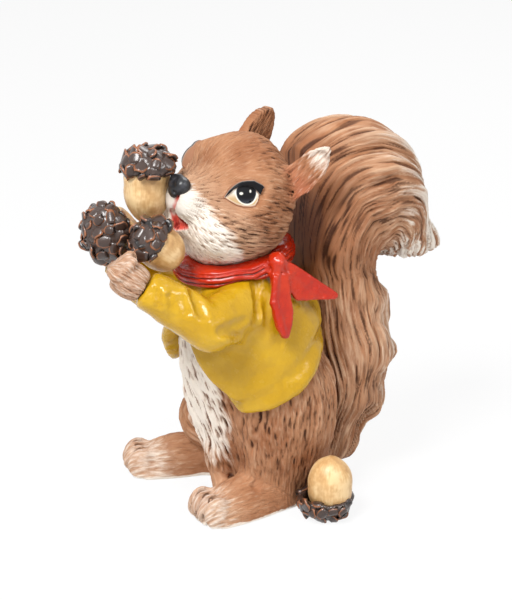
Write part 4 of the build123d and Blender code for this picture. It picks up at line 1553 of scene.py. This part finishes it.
    def _ear_leaf(self, place: Array, sign: float) -> Array:
        """Distance to a slender leaf, as deep as the block, that an ear is trimmed to."""
        half_width = self.ear_half_widths[int(sign < 0.0)]
        root, rise, _, aside = self._ear_axes(sign)
        offset = self.axes.local(place) - root
        bend = (half_width**2 + self.ear_half_length**2) / (2.0 * half_width)
        along, across = offset @ rise - self.ear_middle, np.abs(offset @ aside)
        return np.hypot(across + bend - half_width, along) - bend

    def _ear_rise(self, points: Array) -> Array:
        """Height along the ears from their roots."""
        local = self.axes.local(points)
        mirrored = local * np.stack([np.sign(local[:, 0]), *np.ones((2, len(local)))], axis=1)
        return (mirrored - np.array(self.ear_root)) @ np.array(self.ear_rise) / self.ear_length

    def _ear_dish(self, points: Array, ears: Array) -> Array:
        """How far a point belongs to the dished front of an ear."""
        local = self.axes.local(points)
        total = np.zeros(len(points))
        for sign in (1.0, -1.0):
            root, rise, facing, _ = self._ear_axes(sign)
            ahead = (local - root) @ facing
            own = (np.sign(local[:, 0]) == sign) * ears * (1.0 if sign > 0.0 else 0.4)
            total = np.maximum(total, own * ease(ahead, -0.7, -0.1) * ease((local - root) @ rise, 0.0, 3.0))
        return total


@dataclass
class Eyes:
    """Painted eyes: a low dome in each socket, with lids, lash line, iris and glints."""

    finish: bpy.types.Material
    pixel: Pair
    axes: Axes = field(default_factory=Axes.head)
    span: tuple[float, float, float, float] = (-6.6, 5.6, -4.8, 4.8)
    step: float = 0.1
    skin_range: Pair = (-6.0, 3.0)
    skin_rounds: int = 40
    rim: float = 0.9
    dome_radius: float = 7.0
    dome_proud: float = 0.6
    dome_aside: float = -0.6
    iris_radius: float = 2.7
    pupil_radii: Pair = (2.5, 2.2)
    glints: tuple[tuple[Pair, Pair], ...] = (((-1.4, -0.1), (0.55, 0.42)), ((1.1, 0.55), (0.3, 0.5)))
    far_shift: Point = (1.0, 0.8, 1.8)
    scale: float = 0.9
    lash_top: tuple[Pair, ...] = (
        (-5.65, -1.3), (-4.5, 0.55), (-3.4, 1.75), (-2.2, 2.7), (-1.3, 3.2), (0.0, 3.45), (1.9, 3.5),
        (3.1, 2.9), (4.1, 2.4), (4.6, 1.85),
    )
    lash_base: tuple[Pair, ...] = (
        (-5.65, -1.4), (-4.2, -0.05), (-3.4, 0.9), (-2.3, 1.5), (-1.2, 1.9), (0.0, 2.0), (1.0, 1.9),
        (2.0, 1.5), (2.8, 0.65), (3.4, -0.1), (3.75, -0.2), (4.2, 1.15), (4.6, 1.85),
    )
    lower_lid: tuple[Pair, ...] = (
        (-5.6, -1.35), (-4.5, -2.15), (-2.7, -3.15), (-1.0, -3.55), (0.7, -3.6), (2.0, -3.3), (2.9, -2.2),
        (3.3, -1.1), (3.45, -0.2),
    )

    def build(self, clay: Clay, block: Array, studio: Studio) -> None:
        """Makes both eyes on the shaped head, the right one as the left one mirrored."""
        seat = studio.onto(clay, block, self.pixel)
        outward = clay.slope(clay.soften(block, 3), seat[None])[0]
        right, up, back = studio.view()
        across = (right - back * (right.dot(outward) / back.dot(outward))) * self.scale
        upward = (up - back * (up.dot(outward) / back.dot(outward))) * self.scale
        self._eye("left_eye", clay, block, (seat, outward, across, upward))
        flip = self.axes.flipped
        other = self.axes.world(self.axes.local(self.axes.across(seat)[None])[0] + np.array(self.far_shift))
        other = other - clay.slope(block, other[None])[0] * clay.read(block, other[None])[0]
        self._eye("right_eye", clay, block, (other, flip(outward), flip(across), flip(upward)))

    def _eye(self, node: str, clay: Clay, block: Array, frame: tuple[Array, Array, Array, Array]) -> None:
        """Makes one eye in the frame of its seat, outward direction, across and up."""
        seat, outward, across, upward = frame
        columns = np.arange(self.span[0], self.span[1] + 1e-6, self.step)
        rows = np.arange(self.span[2], self.span[3] + 1e-6, self.step)
        aside, rise = (grid.ravel() for grid in np.meshgrid(columns, rows, indexing="ij"))
        base = seat + aside[:, None] * across + rise[:, None] * upward
        skin = self._depth(clay, block, base, outward).reshape(len(columns), len(rows))
        for _ in range(self.skin_rounds):
            wide = np.pad(skin, 1, mode="edge")
            skin = (wide[:-2, 1:-1] + wide[2:, 1:-1] + wide[1:-1, :-2] + wide[1:-1, 2:]) / 4.0
        skin = skin.ravel()
        values, height, outside = self._paint(aside, rise, skin)
        index = np.arange(len(aside)).reshape(len(columns), len(rows))
        corners = (index[:-1, :-1], index[1:, :-1], index[1:, 1:], index[:-1, 1:])
        quads = np.stack(corners, axis=-1).reshape(-1, 4)
        quads = quads[(outside < self.rim)[quads].all(axis=1)]
        if np.cross(across, upward).dot(outward) < 0.0:
            quads = quads[:, ::-1]
        shell = Skin(base + height[:, None] * outward, quads, values)
        piece = shell.part(np.ones(len(quads), dtype=bool), shell.normals())
        publish(f"{node}_paint", piece.mesh(f"{node}_paint"), self.finish, (node,))

    def _depth(self, clay: Clay, block: Array, base: Array, outward: Array) -> Array:
        """Height of the head's skin over the eye's plane."""
        height = np.full(len(base), self.skin_range[0])
        for level in np.arange(*self.skin_range, self.step):
            gap = clay.read(block, base + level * outward)
            height = np.where(gap < 0.0, level + np.clip(-gap, 0.0, self.step), height)
        return height

    def _paint(self, aside: Array, rise: Array, skin: Array) -> tuple[dict[str, Array], Array, Array]:
        """Paints the eye and shapes its lids.

        Args:
            aside: Distance towards the outer corner.
            rise: Distance upwards.
            skin: Height of the head's skin.

        Returns:
            Painted values, the height of each point over the eye's plane, and its distance outside the eye.
        """
        lines = (self.lash_top, self.lash_base, self.lower_lid)
        top, base, lid = (np.interp(aside, *np.array(line).T) for line in lines)
        beyond = np.maximum(self.lash_top[0][0] - aside, aside - self.lash_top[-1][0])
        lash = np.maximum(np.maximum(rise - top, base - rise), beyond)
        past = np.maximum(self.lower_lid[0][0] - aside, aside - self.lower_lid[-1][0])
        opening = np.maximum(np.maximum(rise - base, lid - rise), past)
        outside = np.minimum(lash, opening)
        dome = self.dome_proud - self.dome_radius + np.sqrt(
            np.maximum(self.dome_radius**2 - (aside - self.dome_aside) ** 2 - rise**2, 1.0)
        )
        ink = ease(lash, 0.1, -0.1)
        surface = -melt(-dome, -skin - 0.15, 0.6)
        surface = surface + 0.45 * ease(lash, 0.15, -0.3) + 0.22 * ease(opening, -0.5, 0.0)
        sunk = ease(outside, 0.1, 0.6)
        height = surface * (1.0 - sunk) + (skin - 0.8) * sunk
        iris = np.hypot(aside, 0.92 * (rise - 0.1))
        under = ease(rise - base, 0.2, 0.0)
        crescent = ease(rise, 0.6, -1.8) * ease(iris, self.iris_radius + 0.15, self.iris_radius + 0.45)
        spots = [np.hypot((aside - x) / wide, (rise - y) / high) for (x, y), (wide, high) in self.glints]
        values = {
            "skin": ease(opening, -0.38, -0.08) * (1.0 - ink),
            "lid": crescent * ease(opening, -0.15, -0.5),
            "iris": ease(iris, self.iris_radius + 0.08, self.iris_radius - 0.08) * under,
            "pupil": ease(iris, *self.pupil_radii) * ease(rise, -2.2, -1.0) * under,
            "ink": ink,
            "glint": ease(np.min(spots, axis=0), 1.1, 0.6),
        }
        return {label: np.clip(value, 0.0, 1.0) for label, value in values.items()}, height, outside


@dataclass
class Nose:
    """Black nose: a rounded three-cornered button with a soft ridge across it."""

    finish: bpy.types.Material
    axes: Axes = field(default_factory=Axes.head)
    middle: Point = (1.5, 0.6, 17.6)
    corners: tuple[Point, ...] = ((1.8, 1.0, -0.2), (-1.8, 1.0, -0.2), (0.0, -0.9, 0.2))
    lobe_sizes: Point = (1.6, 1.5, 1.8)
    nostril: Point = (1.6, -1.2, 2.0)
    nostril_sizes: Point = (0.6, 0.45, 0.8)

    def build(self) -> None:
        """Makes the nose."""
        clay = Clay.around(("nose",), 0.3, 3.0)
        place = clay.place()
        middle = np.array(self.middle)
        block = clay.node("nose")
        for corner in self.corners:
            lobe = ball(place, self.axes.world(middle + corner), self.lobe_sizes, self.axes.rows)
            block = melt(block, lobe, 1.4)
        for side in (1.0, -1.0):
            nostril = self.axes.world(middle + np.array([side, 1.0, 1.0]) * self.nostril)
            block = carve(block, ball(place, nostril, self.nostril_sizes, self.axes.rows), 0.4)
        skin = clay.skin(block)
        skin.push(0.1 * Grain(81).layers((skin.points - self.axes.world(middle)) / 1.6, 2))
        publish("nose_button", skin.mesh("nose_button"), self.finish, ("nose",))


@dataclass
class Paws(Fur):
    """Front paws that hold the acorns: palm, knuckles and curled fingers."""

    melt_width: float = 1.2
    cell: float = 0.42
    wash_shade_rounds: int = 16
    wash_shade_depths: Pair = (-0.08, -0.4)
    wash_shade_strength: float = 1.0
    wrists: tuple[tuple[str, Point, Point], ...] = (
        ("left", (17.5, -25.0, 55.0), (9.6, -38.8, 65.0)),
        ("right", (-17.5, -22.0, 53.0), (-16.2, -33.0, 64.6)),
    )
    reach: float = 4.6
    finger_turns: tuple[float, ...] = (-54.0, -18.0, 18.0, 54.0)
    finger_radii: Point = (1.5, 1.6, 1.2)
    finger_melt: float = 0.4
    knuckle: Pair = (3.8, 1.2)
    fingertip: Pair = (3.0, 5.2)
    tool: Tooling = Tooling(seed=91, width=0.8, length=3.2, depth=0.2, lock=0.1, lock_size=2.4)

    def build(self) -> None:
        """Makes both paws."""
        for side, elbow, wrist in self.wrists:
            self._paw(f"{side}_paw", np.array(elbow), np.array(wrist))

    def _paw(self, node: str, elbow: Array, wrist: Array) -> None:
        """Makes one paw, with grooves between its fingers."""
        self.nodes = (node,)
        clay, blocks = self.gather()
        place = clay.place()
        forearm = unit(wrist - elbow)
        upward = unit(np.array([0.0, 0.0, 1.0]) - forearm * forearm[2])
        aside = np.cross(forearm, upward)
        palm = wrist + forearm * self.reach
        whole = clay.soften(blocks[node], 2)
        for turn in self.finger_turns:
            pointing = spin(forearm, upward, turn)
            knuckle, tip = (palm + pointing * out + upward * up for out, up in (self.knuckle, self.fingertip))
            whole = melt(whole, rod(place, palm, knuckle, *self.finger_radii[:2]), self.finger_melt)
            whole = melt(whole, rod(place, knuckle, tip, *self.finger_radii[1:]), self.finger_melt)
        skin = clay.skin(whole)
        rest = skin.points.copy()
        offset = rest - wrist
        turn = np.arctan2(offset @ aside, offset @ upward)
        work = self.tool.cut(Lay.round(turn, offset @ forearm, 5.0))
        skin.push(work["height"])
        hollow = cavity(skin, self.wash_shade_rounds)
        self.dress(
            skin,
            # Dark in the hollows between the fingers: dark paint there, and painted shade.
            groove=0.6 * work["groove"] + self.wash_and_shade(hollow),
            # Paler and creamier where the paw stands out: dry-brushing, and painted highlight.
            ridge=0.5 + 0.7 * work["ridge"] + ease(hollow, 0.1, 0.5) * 0.5,
            cream=0.36 + 0.2 * ease(hollow, 0.0, 0.5),
            lie=work["lie"],
        )
        self.parted(skin, clay, blocks, rest)


@dataclass
class Cloth(Ground):
    """Ground for the painted clothes."""

    ending: str = "cloth"
    cell: float = 0.55
    melt_width: float = 2.4
    fine_rounds: int = 14
    broad_rounds: int = 70

    def shading_and_stain(self, skin: Skin, groove: Array | float = 0.0) -> None:
        """Paints the cloth darker in its hollows and folds, which is painted shade, and paler on its ridges,
        which is painted highlight.
        """
        fine = cavity(skin, self.fine_rounds)
        broad = cavity(skin, self.broad_rounds)
        sunk = ease(fine, -0.05, -0.3) + 0.7 * ease(broad, -0.25, -1.1)
        skin.paint["groove"] = np.clip(sunk + groove, 0.0, 1.0)
        skin.paint["ridge"] = np.clip(ease(fine, 0.05, 0.3) * 0.6 + 0.5 * ease(broad, 0.3, 1.2), 0.0, 1.0)


@dataclass
class Coat(Cloth):
    """Jacket with its sleeves: a flared coat, creased at the elbows and under the arms."""

    nodes: tuple[str, ...] = ("jacket", "left_sleeve", "right_sleeve")
    creases: tuple[Fold, ...] = (
        ((158.0, 293.0), (159.8, 304.5), 0.8, 0.1),
        ((169.5, 297.5), (172.8, 307.0), 1.0, 0.5),
        ((193.5, 294.0), (203.0, 315.0), 1.9, 0.7),
        ((181.0, 300.0), (187.0, 312.0), 1.2, 0.7),
        ((221.5, 331.5), (245.5, 320.5), 1.3, 0.3),
        ((222.5, 332.5), (238.0, 336.0), 0.9, 0.1),
        ((229.0, 351.0), (247.0, 354.5), 1.6, 1.1),
        ((256.0, 276.0), (257.0, 320.0), 1.7, 1.1),
        ((264.8, 285.0), (266.0, 322.0), 1.2, 0.7),
        ((150.0, 292.0), (148.0, 300.0), 0.8, 0.5),
    )
    ridges: tuple[Fold, ...] = (
        ((260.8, 274.0), (261.3, 321.0), 1.4, 0.6),
        ((164.0, 294.0), (166.5, 309.0), 1.3, 0.7),
        ((188.5, 293.0), (195.0, 315.0), 1.5, 0.8),
        ((207.0, 296.0), (208.0, 318.0), 2.0, 1.2),
        ((224.0, 337.0), (246.0, 341.0), 1.6, 1.0),
    )
    panel: tuple[Pair, ...] = (
        (200.0, 353.0), (238.0, 414.0), (270.0, 413.0), (297.0, 400.0),
        (315.0, 378.0), (323.0, 352.0), (322.0, 322.0), (250.0, 320.0),
    )
    apron_proud: float = 2.3
    apron_sunk: float = 1.0
    apron_melt: float = 2.6
    hem_round: float = 2.0
    fold_taper: float = 0.7
    ridge_melt: float = 1.6
    crease_edge: float = 1.3

    def apron(self, clay: Clay, studio: Studio) -> Array:
        """Lower part of the side panel, as a sheet over the body, with a rounded hem."""
        body = np.minimum(clay.node("torso"), clay.node("left_haunch"))
        pixels = studio.seen(clay.place())
        shape = np.full(body.shape, -99.0)
        for first, second in zip(self.panel, self.panel[1:] + self.panel[:1]):
            way = np.subtract(second, first)
            edge = ((pixels - np.array(first)) @ np.array([-way[1], way[0]])) / np.hypot(*way)
            shape = -melt(-shape, -edge / studio.scale, self.hem_round)
        sheet = np.maximum(body - self.apron_proud, -self.apron_sunk - body)
        return np.maximum(np.maximum(sheet, shape), -clay.place()[..., 0])

    def sculpt(self, clay: Clay, whole: Array, studio: Studio) -> Array:
        """Presses creases and raises folds where the camera sees them, and alike on the far side."""
        place = clay.place()
        shaped = whole
        strokes = [(fold, True) for fold in self.ridges] + [(fold, False) for fold in self.creases]
        for (first, second, radius, sink), raised in strokes:
            ends = np.stack([studio.onto(clay, whole, first), studio.onto(clay, whole, second)])
            for side in (1.0, -1.0):
                line = ends * np.array([side, 1.0, 1.0])
                for _ in range(4):
                    line = line - clay.slope(whole, line) * clay.read(whole, line)[:, None]
                line = line + clay.slope(whole, line) * (-sink if raised else sink)
                tool = rod(place, line[0], line[1], radius, self.fold_taper * radius)
                if raised:
                    shaped = melt(shaped, tool, self.ridge_melt)
                else:
                    shaped = carve(shaped, tool, self.crease_edge)
        return shaped

    def build(self, studio: Studio) -> None:
        """Makes the jacket and the sleeves."""
        clay, blocks = self.gather()
        whole = melt(self.melted(blocks.values()), self.apron(clay, studio), self.apron_melt)
        whole = clay.soften(whole, 3)
        skin = clay.skin(self.sculpt(clay, whole, studio))
        rest = skin.points.copy()
        grain = Grain(101)
        swell = grain.noise(rest / 11.0) * 0.7 + grain.noise(rest / 5.0 + 3.0) * 0.3
        swell = swell + grain.noise(rest / 2.0) * 0.08
        skin.push(swell * ease(rest[:, 1], 12.0, 9.0))
        self.shading_and_stain(skin)
        self.parted(skin, clay, blocks, rest)


@dataclass
class Scarf(Cloth):
    """Scarf: a folded band round the neck, a knot and two loose ends."""

    nodes: tuple[str, ...] = ("scarf_band", "scarf_knot", "scarf_hanging_end", "scarf_flying_end")
    cell: float = 0.4
    melt_width: float = 1.2
    middle: Point = (0.0, -8.5, 65.5)
    tilt: float = 9.0
    knot: Point = (15.6, -4.8, 68.0)
    knot_sunk: float = 0.8
    band_folds: tuple[Point, ...] = (
        (-0.9, 0.35, 0.55), (0.75, 0.3, 0.45), (1.7, 0.25, 0.35), (-1.8, 0.2, 0.3),
    )
    hanging_tip: Point = (21.5, -6.0, 49.5)
    flying_tip: Point = (19.5, 10.5, 57.0)

    def trim(self, clay: Clay, blocks: dict[str, Array]) -> Array:
        """Distance outside a pointed petal, where the hanging end is, and far inside elsewhere."""
        along = np.array(self.hanging_tip) - np.array(self.knot)
        offset = clay.place() - np.array(self.knot)
        share = offset @ along / along.dot(along)
        across = np.abs(offset @ unit(np.cross(along, (1.0, 0.0, 0.0))))
        limit = np.interp(share, (0.0, 0.25, 0.6, 0.85, 1.02), (2.2, 2.3, 3.1, 2.0, 0.4))
        others = np.min([block for name, block in blocks.items() if name != "scarf_hanging_end"], axis=0)
        return np.where((share > 0.1) & (others > 0.0), np.minimum(across - limit, others), -9.0)

    def sculpt(self, clay: Clay, whole: Array) -> Array:
        """Raises a rim on the hanging end and a fold on the flying end, and draws in the knot."""
        place = clay.place()
        knot = np.array(self.knot)
        tip = np.array(self.hanging_tip)
        rim = knot + 0.5 * (tip - knot) + (0.9, -2.6, 0.0)
        whole = melt(whole, rod(place, knot + (1.6, -1.0, -1.0), rim, 0.8, 0.9), 0.8)
        whole = melt(whole, rod(place, rim, tip + (0.6, -0.4, 1.6), 0.9, 0.7), 0.8)
        fold = knot + 0.5 * (np.array(self.flying_tip) - knot) + (1.2, 0.0, -1.0)
        whole = melt(whole, rod(place, knot + (2.0, 0.0, 0.0), fold + (0.0, 3.0, -3.2), 1.0, 0.6), 1.0)
        way = np.array(self.flying_tip) - knot
        for drop in (1.2, 4.0):
            edge = knot + 0.75 * way + (1.7, -0.3 * drop, -drop)
            whole = carve(whole, rod(place, knot + (3.2, 1.5, -0.4 * drop), edge, 0.9, 0.5), 0.9)
        for aside in (-1.0, 1.0):
            start = knot + np.array([3.4, 1.3 * aside, 1.4])
            whole = carve(whole, rod(place, start, start + np.array([-1.0, 0.5 * aside, -3.5]), 0.5), 0.7)
        return whole

    def build(self) -> None:
        """Makes the band, the knot and both ends."""
        clay, blocks = self.gather()
        others = [block for name, block in blocks.items() if name != "scarf_knot"]
        whole = self.melted([blocks["scarf_knot"] + self.knot_sunk, *others])
        whole = np.maximum(whole, self.trim(clay, blocks))
        skin = clay.skin(self.sculpt(clay, clay.soften(whole, 1)))
        rest = skin.points.copy()
        up = spin((0.0, 0.0, 1.0), (1.0, 0.0, 0.0), self.tilt)
        offset = rest - np.array(self.middle)
        level = offset @ up
        turn = np.arctan2(offset[:, 0], -offset[:, 1])
        gaps = np.stack([clay.read(blocks[name], rest) for name in self.nodes])
        band = ease(gaps[1:].min(axis=0) - gaps[0], -0.3, 0.5)
        grain = Grain(111)
        round_neck = np.stack([3.0 * np.cos(turn), 3.0 * np.sin(turn), 0.0 * turn], axis=1)
        drift = 0.7 * grain.noise(round_neck)
        folds = np.zeros(len(rest))
        for start, width, depth in self.band_folds:
            folds -= depth * np.exp(-(((level - start - drift) / width) ** 2))
        skin.push(band * folds + 0.12 * grain.layers(rest / 2.4, 2))
        # Painted shade in the troughs of the band's folds, on top of that in the hollows.
        self.shading_and_stain(skin, 0.6 * band * np.clip(-folds, 0.0, 1.0))
        self.parted(skin, clay, blocks, rest)


@dataclass
class Acorns:
    """Four acorns: streaked nuts in cups that are covered with rough scales."""

    nut_finish: bpy.types.Material
    cup_finish: bpy.types.Material
    cups: tuple[tuple[str, Point, Point], ...] = (
        ("floor", (25.2, 4.2, 4.58), (0.0, 0.0, 1.0)),
        ("top", (-6.0, -30.5, 89.4), (0.0, 0.0, -1.0)),
        ("far", (-7.9, -39.8, 74.6), (-0.35, 0.94, 0.0)),
        ("near", (5.0, -34.8, 75.5), (-0.1, 0.75, -0.65)),
    )
    nut_cell: float = 0.42
    nut_radius: float = 5.0
    cup_cell: float = 0.45
    margin: float = 3.0
    scale_pitch: float = 2.6
    top_cup_shift: Point = (0.5, 0.8, 1.3)
    top_cup_slim: float = 0.09
    top_nut_shift: Point = (0.3, 0.5, 1.3)
    top_nut_slim: float = 0.08
    floor_nut_shift: Point = (0.6, 1.1, 0.0)
    floor_nut_stretch: float = 0.14

    def build(self) -> None:
        """Makes every nut and cup."""
        for seed, (name, rim, way) in enumerate(self.cups):
            self._nut(f"{name}_acorn_nut", np.array(rim), unit(way), seed)
            self._cup(f"{name}_acorn_cup", np.array(rim), unit(way), seed)

    def _nut(self, node: str, rim: Array, way: Array, seed: int) -> None:
        """Makes one nut with faint facets along it."""
        clay = Clay.around((node,), self.nut_cell, self.margin)
        skin = clay.skin(clay.soften(clay.node(node), 2))
        offset = skin.points - rim
        along = offset @ way
        if node.startswith("top"):
            skin.points -= self.top_nut_slim * (offset - along[:, None] * way)
            skin.points += self.top_nut_shift
        if node.startswith("floor"):
            skin.points += self.floor_nut_stretch * np.clip(along, 0.0, None)[:, None] * way
            skin.points += self.floor_nut_shift
        side = unit(np.cross(way, (0.3, 0.5, 0.8)))
        turn = np.arctan2(offset @ np.cross(way, side), offset @ side)
        lay = Lay.round(turn, along, self.nut_radius)
        grain = Grain(121 + seed)
        skin.push(0.1 * grain.layers(lay.strands / 3.6, 2) + 0.12 * grain.noise(offset / 4.0))
        # Painted shade in the hollows of the nut.
        skin.paint["groove"] = 0.3 * ease(cavity(skin, 14), -0.03, -0.25)
        skin.paint["lie"] = lay.strands
        publish(f"{node}_shell", skin.mesh(f"{node}_shell"), self.nut_finish, (node,))

    def _cup(self, node: str, rim: Array, way: Array, seed: int) -> None:
        """Makes one cup: a lumpy bowl under a layer of scales."""
        clay = Clay.around((node,), self.cup_cell, self.margin)
        skin = clay.skin(clay.soften(clay.node(node), 1), 0)
        if node.startswith("top"):
            skin.points -= self.top_cup_slim * (skin.points - rim)
            skin.points += self.top_cup_shift
            rim = rim + self.top_cup_shift
        grain = Grain(131 + seed)
        offset = skin.points - rim
        floor = ease(skin.points[:, 2], 0.1, 1.0)
        skin.push(floor * (0.45 * grain.layers(offset / 2.4, 2) - 0.1))
        skin.points[:, 2] = np.maximum(skin.points[:, 2], 0.0)
        # Painted shade in the hollows of the bowl.
        skin.paint["groove"] = ease(cavity(skin, 6), 0.1, -0.3)
        skin.paint["ridge"] = 0.6 * ease(cavity(skin, 6), 0.15, 0.5)
        bowl = skin.mesh(f"{node}_bowl")
        outer = self._outer(skin, rim, way)
        scales = Scales(self.cup_finish, self.scale_pitch, seed).grow(outer)
        mesh = joined(f"{node}_scales", (bowl, scales))
        publish(f"{node}_scales", mesh, self.cup_finish, (node,))

    def _outer(self, skin: Skin, rim: Array, way: Array) -> bpy.types.Mesh:
        """The outside of a cup, where scales grow."""
        middle = skin.points[skin.faces].mean(axis=1)
        corner = skin.points[skin.faces]
        facing = unit(np.cross(corner[:, 2] - corner[:, 0], corner[:, 3] - corner[:, 1]))
        offset = middle - rim
        side = offset - (offset @ way)[:, None] * way
        outside = (np.einsum("ij,ij->i", facing, unit(side)) > -0.15) | (facing @ way < -0.3)
        chosen = outside & (offset @ way < 1.1) & (middle[:, 2] > 0.9)
        return Skin(skin.points, skin.faces[chosen]).mesh("outer")


def joined(name: str, meshes: Sequence[bpy.types.Mesh]) -> bpy.types.Mesh:
    """Several meshes as one, with their painted values."""
    points, faces, paint, start = [], [], {"groove": [], "ridge": []}, 0
    for mesh in meshes:
        points += [(vertex.co.x, vertex.co.y, max(vertex.co.z, 0.0)) for vertex in mesh.vertices]
        faces += [[start + index for index in face.vertices] for face in mesh.polygons]
        for label, values in paint.items():
            layer = np.empty(len(mesh.vertices), dtype=np.float32)
            mesh.attributes[label].data.foreach_get("value", layer)
            values.append(layer)
        start = len(points)
    whole = bpy.data.meshes.new(name)
    whole.from_pydata(points, [], faces)
    for label, values in paint.items():
        brush(whole, label, np.concatenate(values))
    whole.shade_smooth()
    for mesh in meshes:
        bpy.data.meshes.remove(mesh)
    return whole


@dataclass(frozen=True)
class Scales:
    """Rough scales scattered over a cup by Geometry Nodes."""

    finish: bpy.types.Material
    pitch: float
    seed: int
    half_width: float = 1.3
    length: float = 2.5
    seat: float = 1.2
    thickness: float = 0.9
    curl: float = 0.55
    bow: float = 0.4
    lean: Point = (0.3, 0.3, math.pi)
    least: Point = (0.9, 0.8, 0.9)
    most: Point = (1.6, 1.5, 1.3)
    density: float = 2.0e6

    def shard(self) -> bpy.types.Mesh:
        """One scale: a bent, blunt shard, painted pale along its raised edge and dark on its underside, which
        is painted shade.
        """
        rows, columns = 6, 5
        outer, inner, pale = [], [], []
        for row in range(rows):
            along = row / (rows - 1)
            half = self.half_width * math.sin(math.pi * (0.18 + 0.68 * along)) ** 0.6
            for column in range(columns):
                across = 2.0 * column / (columns - 1) - 1.0
                lift = 0.2 + self.curl * along - self.bow * across * across
                outer.append((half * across, self.length * along - self.seat, lift))
                under = 0.92 * self.length * along - self.seat
                inner.append((0.85 * half * across, under, lift - self.thickness))
                pale.append(max(along**3, abs(across) ** 3 * 0.8))
        faces = []
        count = rows * columns
        for row in range(rows - 1):
            for column in range(columns - 1):
                first = row * columns + column
                quad = (first, first + 1, first + columns + 1, first + columns)
                faces.append(quad)
                faces.append(tuple(count + index for index in reversed(quad)))
        rim = [*range(columns), *(row * columns + columns - 1 for row in range(1, rows))]
        rim += range(count - 2, count - columns - 1, -1)
        rim += (row * columns for row in range(rows - 2, 0, -1))
        for first, second in zip(rim, rim[1:] + rim[:1]):
            faces.append((second, first, count + first, count + second))
        mesh = bpy.data.meshes.new("shard")
        mesh.from_pydata([tuple(value * MM for value in point) for point in outer + inner], [], faces)
        brush(mesh, "ridge", pale + [0.0] * count)
        # Painted shade: the underside of every scale is dark.
        brush(mesh, "groove", [0.0] * count + [1.0] * count)
        mesh.shade_smooth()
        return mesh

    def tree(self, shard: bpy.types.Object) -> bpy.types.GeometryNodeTree:
        """Scatters the shard over a surface, at a named pitch and seed."""
        group = bpy.data.node_groups.new("scales", "GeometryNodeTree")
        for label, side, kind in (
            ("Geometry", "INPUT", "Geometry"),
            ("Pitch", "INPUT", "Float"),
            ("Seed", "INPUT", "Int"),
            ("Geometry", "OUTPUT", "Geometry"),
        ):
            group.interface.new_socket(label, in_out=side, socket_type=f"NodeSocket{kind}")
        made = {}
        for label, kind in (
            ("enter", "NodeGroupInput"),
            ("scatter", "GeometryNodeDistributePointsOnFaces"),
            ("lean", "FunctionNodeRandomValue"),
            ("size", "FunctionNodeRandomValue"),
            ("turn", "FunctionNodeRotateEuler"),
            ("info", "GeometryNodeObjectInfo"),
            ("stand", "GeometryNodeInstanceOnPoints"),
            ("real", "GeometryNodeRealizeInstances"),
            ("dress", "GeometryNodeSetMaterial"),
            ("leave", "NodeGroupOutput"),
        ):
            made[label] = group.nodes.new(kind)
        made["scatter"].distribute_method = "POISSON"
        made["scatter"].inputs["Density Max"].default_value = self.density
        ranges = {"lean": (tuple(-turn for turn in self.lean), self.lean), "size": (self.least, self.most)}
        for label, ends in ranges.items():
            made[label].data_type = "FLOAT_VECTOR"
            for index, end in enumerate(ends):
                made[label].inputs[index].default_value = end
        made["turn"].rotation_type = "EULER"
        made["turn"].space = "LOCAL"
        made["info"].inputs["Object"].default_value = shard
        made["dress"].inputs["Material"].default_value = self.finish
        for start, out, end, into in (
            ("enter", "Geometry", "scatter", "Mesh"),
            ("enter", "Pitch", "scatter", "Distance Min"),
            ("enter", "Seed", "scatter", "Seed"),
            ("enter", "Seed", "lean", "Seed"),
            ("enter", "Seed", "size", "Seed"),
            ("scatter", "Rotation", "turn", "Rotation"),
            ("lean", 0, "turn", "Rotate By"),
            ("scatter", "Points", "stand", "Points"),
            ("info", "Geometry", "stand", "Instance"),
            ("turn", 0, "stand", "Rotation"),
            ("size", 0, "stand", "Scale"),
            ("stand", "Instances", "real", "Geometry"),
            ("real", "Geometry", "dress", "Geometry"),
            ("dress", "Geometry", "leave", "Geometry"),
        ):
            group.links.new(made[start].outputs[out], made[end].inputs[into])
        return group

    def grow(self, ground: bpy.types.Mesh) -> bpy.types.Mesh:
        """Scales over a surface, as a plain mesh."""
        collection = bpy.context.scene.collection
        shard = bpy.data.objects.new("shard", self.shard())
        surface = bpy.data.objects.new("surface", ground)
        for item in (shard, surface):
            collection.objects.link(item)
        group = self.tree(shard)
        modifier = surface.modifiers.new("scales", "NODES")
        modifier.node_group = group
        values = {"Pitch": self.pitch * MM, "Seed": 7 + self.seed}
        for item in group.interface.items_tree:
            if item.in_out == "INPUT" and item.name in values:
                modifier[item.identifier] = values[item.name]
        result = bpy.data.meshes.new_from_object(surface.evaluated_get(bpy.context.evaluated_depsgraph_get()))
        for item in (shard, surface):
            mesh = item.data
            bpy.data.objects.remove(item)
            bpy.data.meshes.remove(mesh)
        bpy.data.node_groups.remove(group)
        return result


def main() -> None:
    """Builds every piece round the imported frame."""
    logging.basicConfig(level=logging.INFO, format="%(name)s: %(message)s")
    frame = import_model()
    NODES.update({name: item.name for name, item in frame["nodes"].items()})
    studio = Studio()
    studio.build()
    fur = FurFinish("fur_brown").material()
    Body(fur).build(studio)
    Tail(fur).build()
    head = Head(fur)
    clay, face = head.build(studio)
    Eyes(EyeFinish().material(), head.eye_pixel).build(clay, face, studio)
    Nose(NoseFinish().material()).build()
    Paws(fur).build()
    mustard = GlossFinish("jacket_mustard", srgb(182, 140, 12), srgb(202, 162, 38), srgb(100, 66, 18))
    Coat(mustard.material(), Slot.JACKET).build(studio)
    red = GlossFinish("scarf_red", srgb(172, 32, 8), srgb(198, 58, 18), srgb(66, 12, 6))
    Scarf(red.material(), Slot.SCARF).build()
    Acorns(NutFinish().material(), CupFinish().material()).build()


if __name__ == "__main__":
    main()
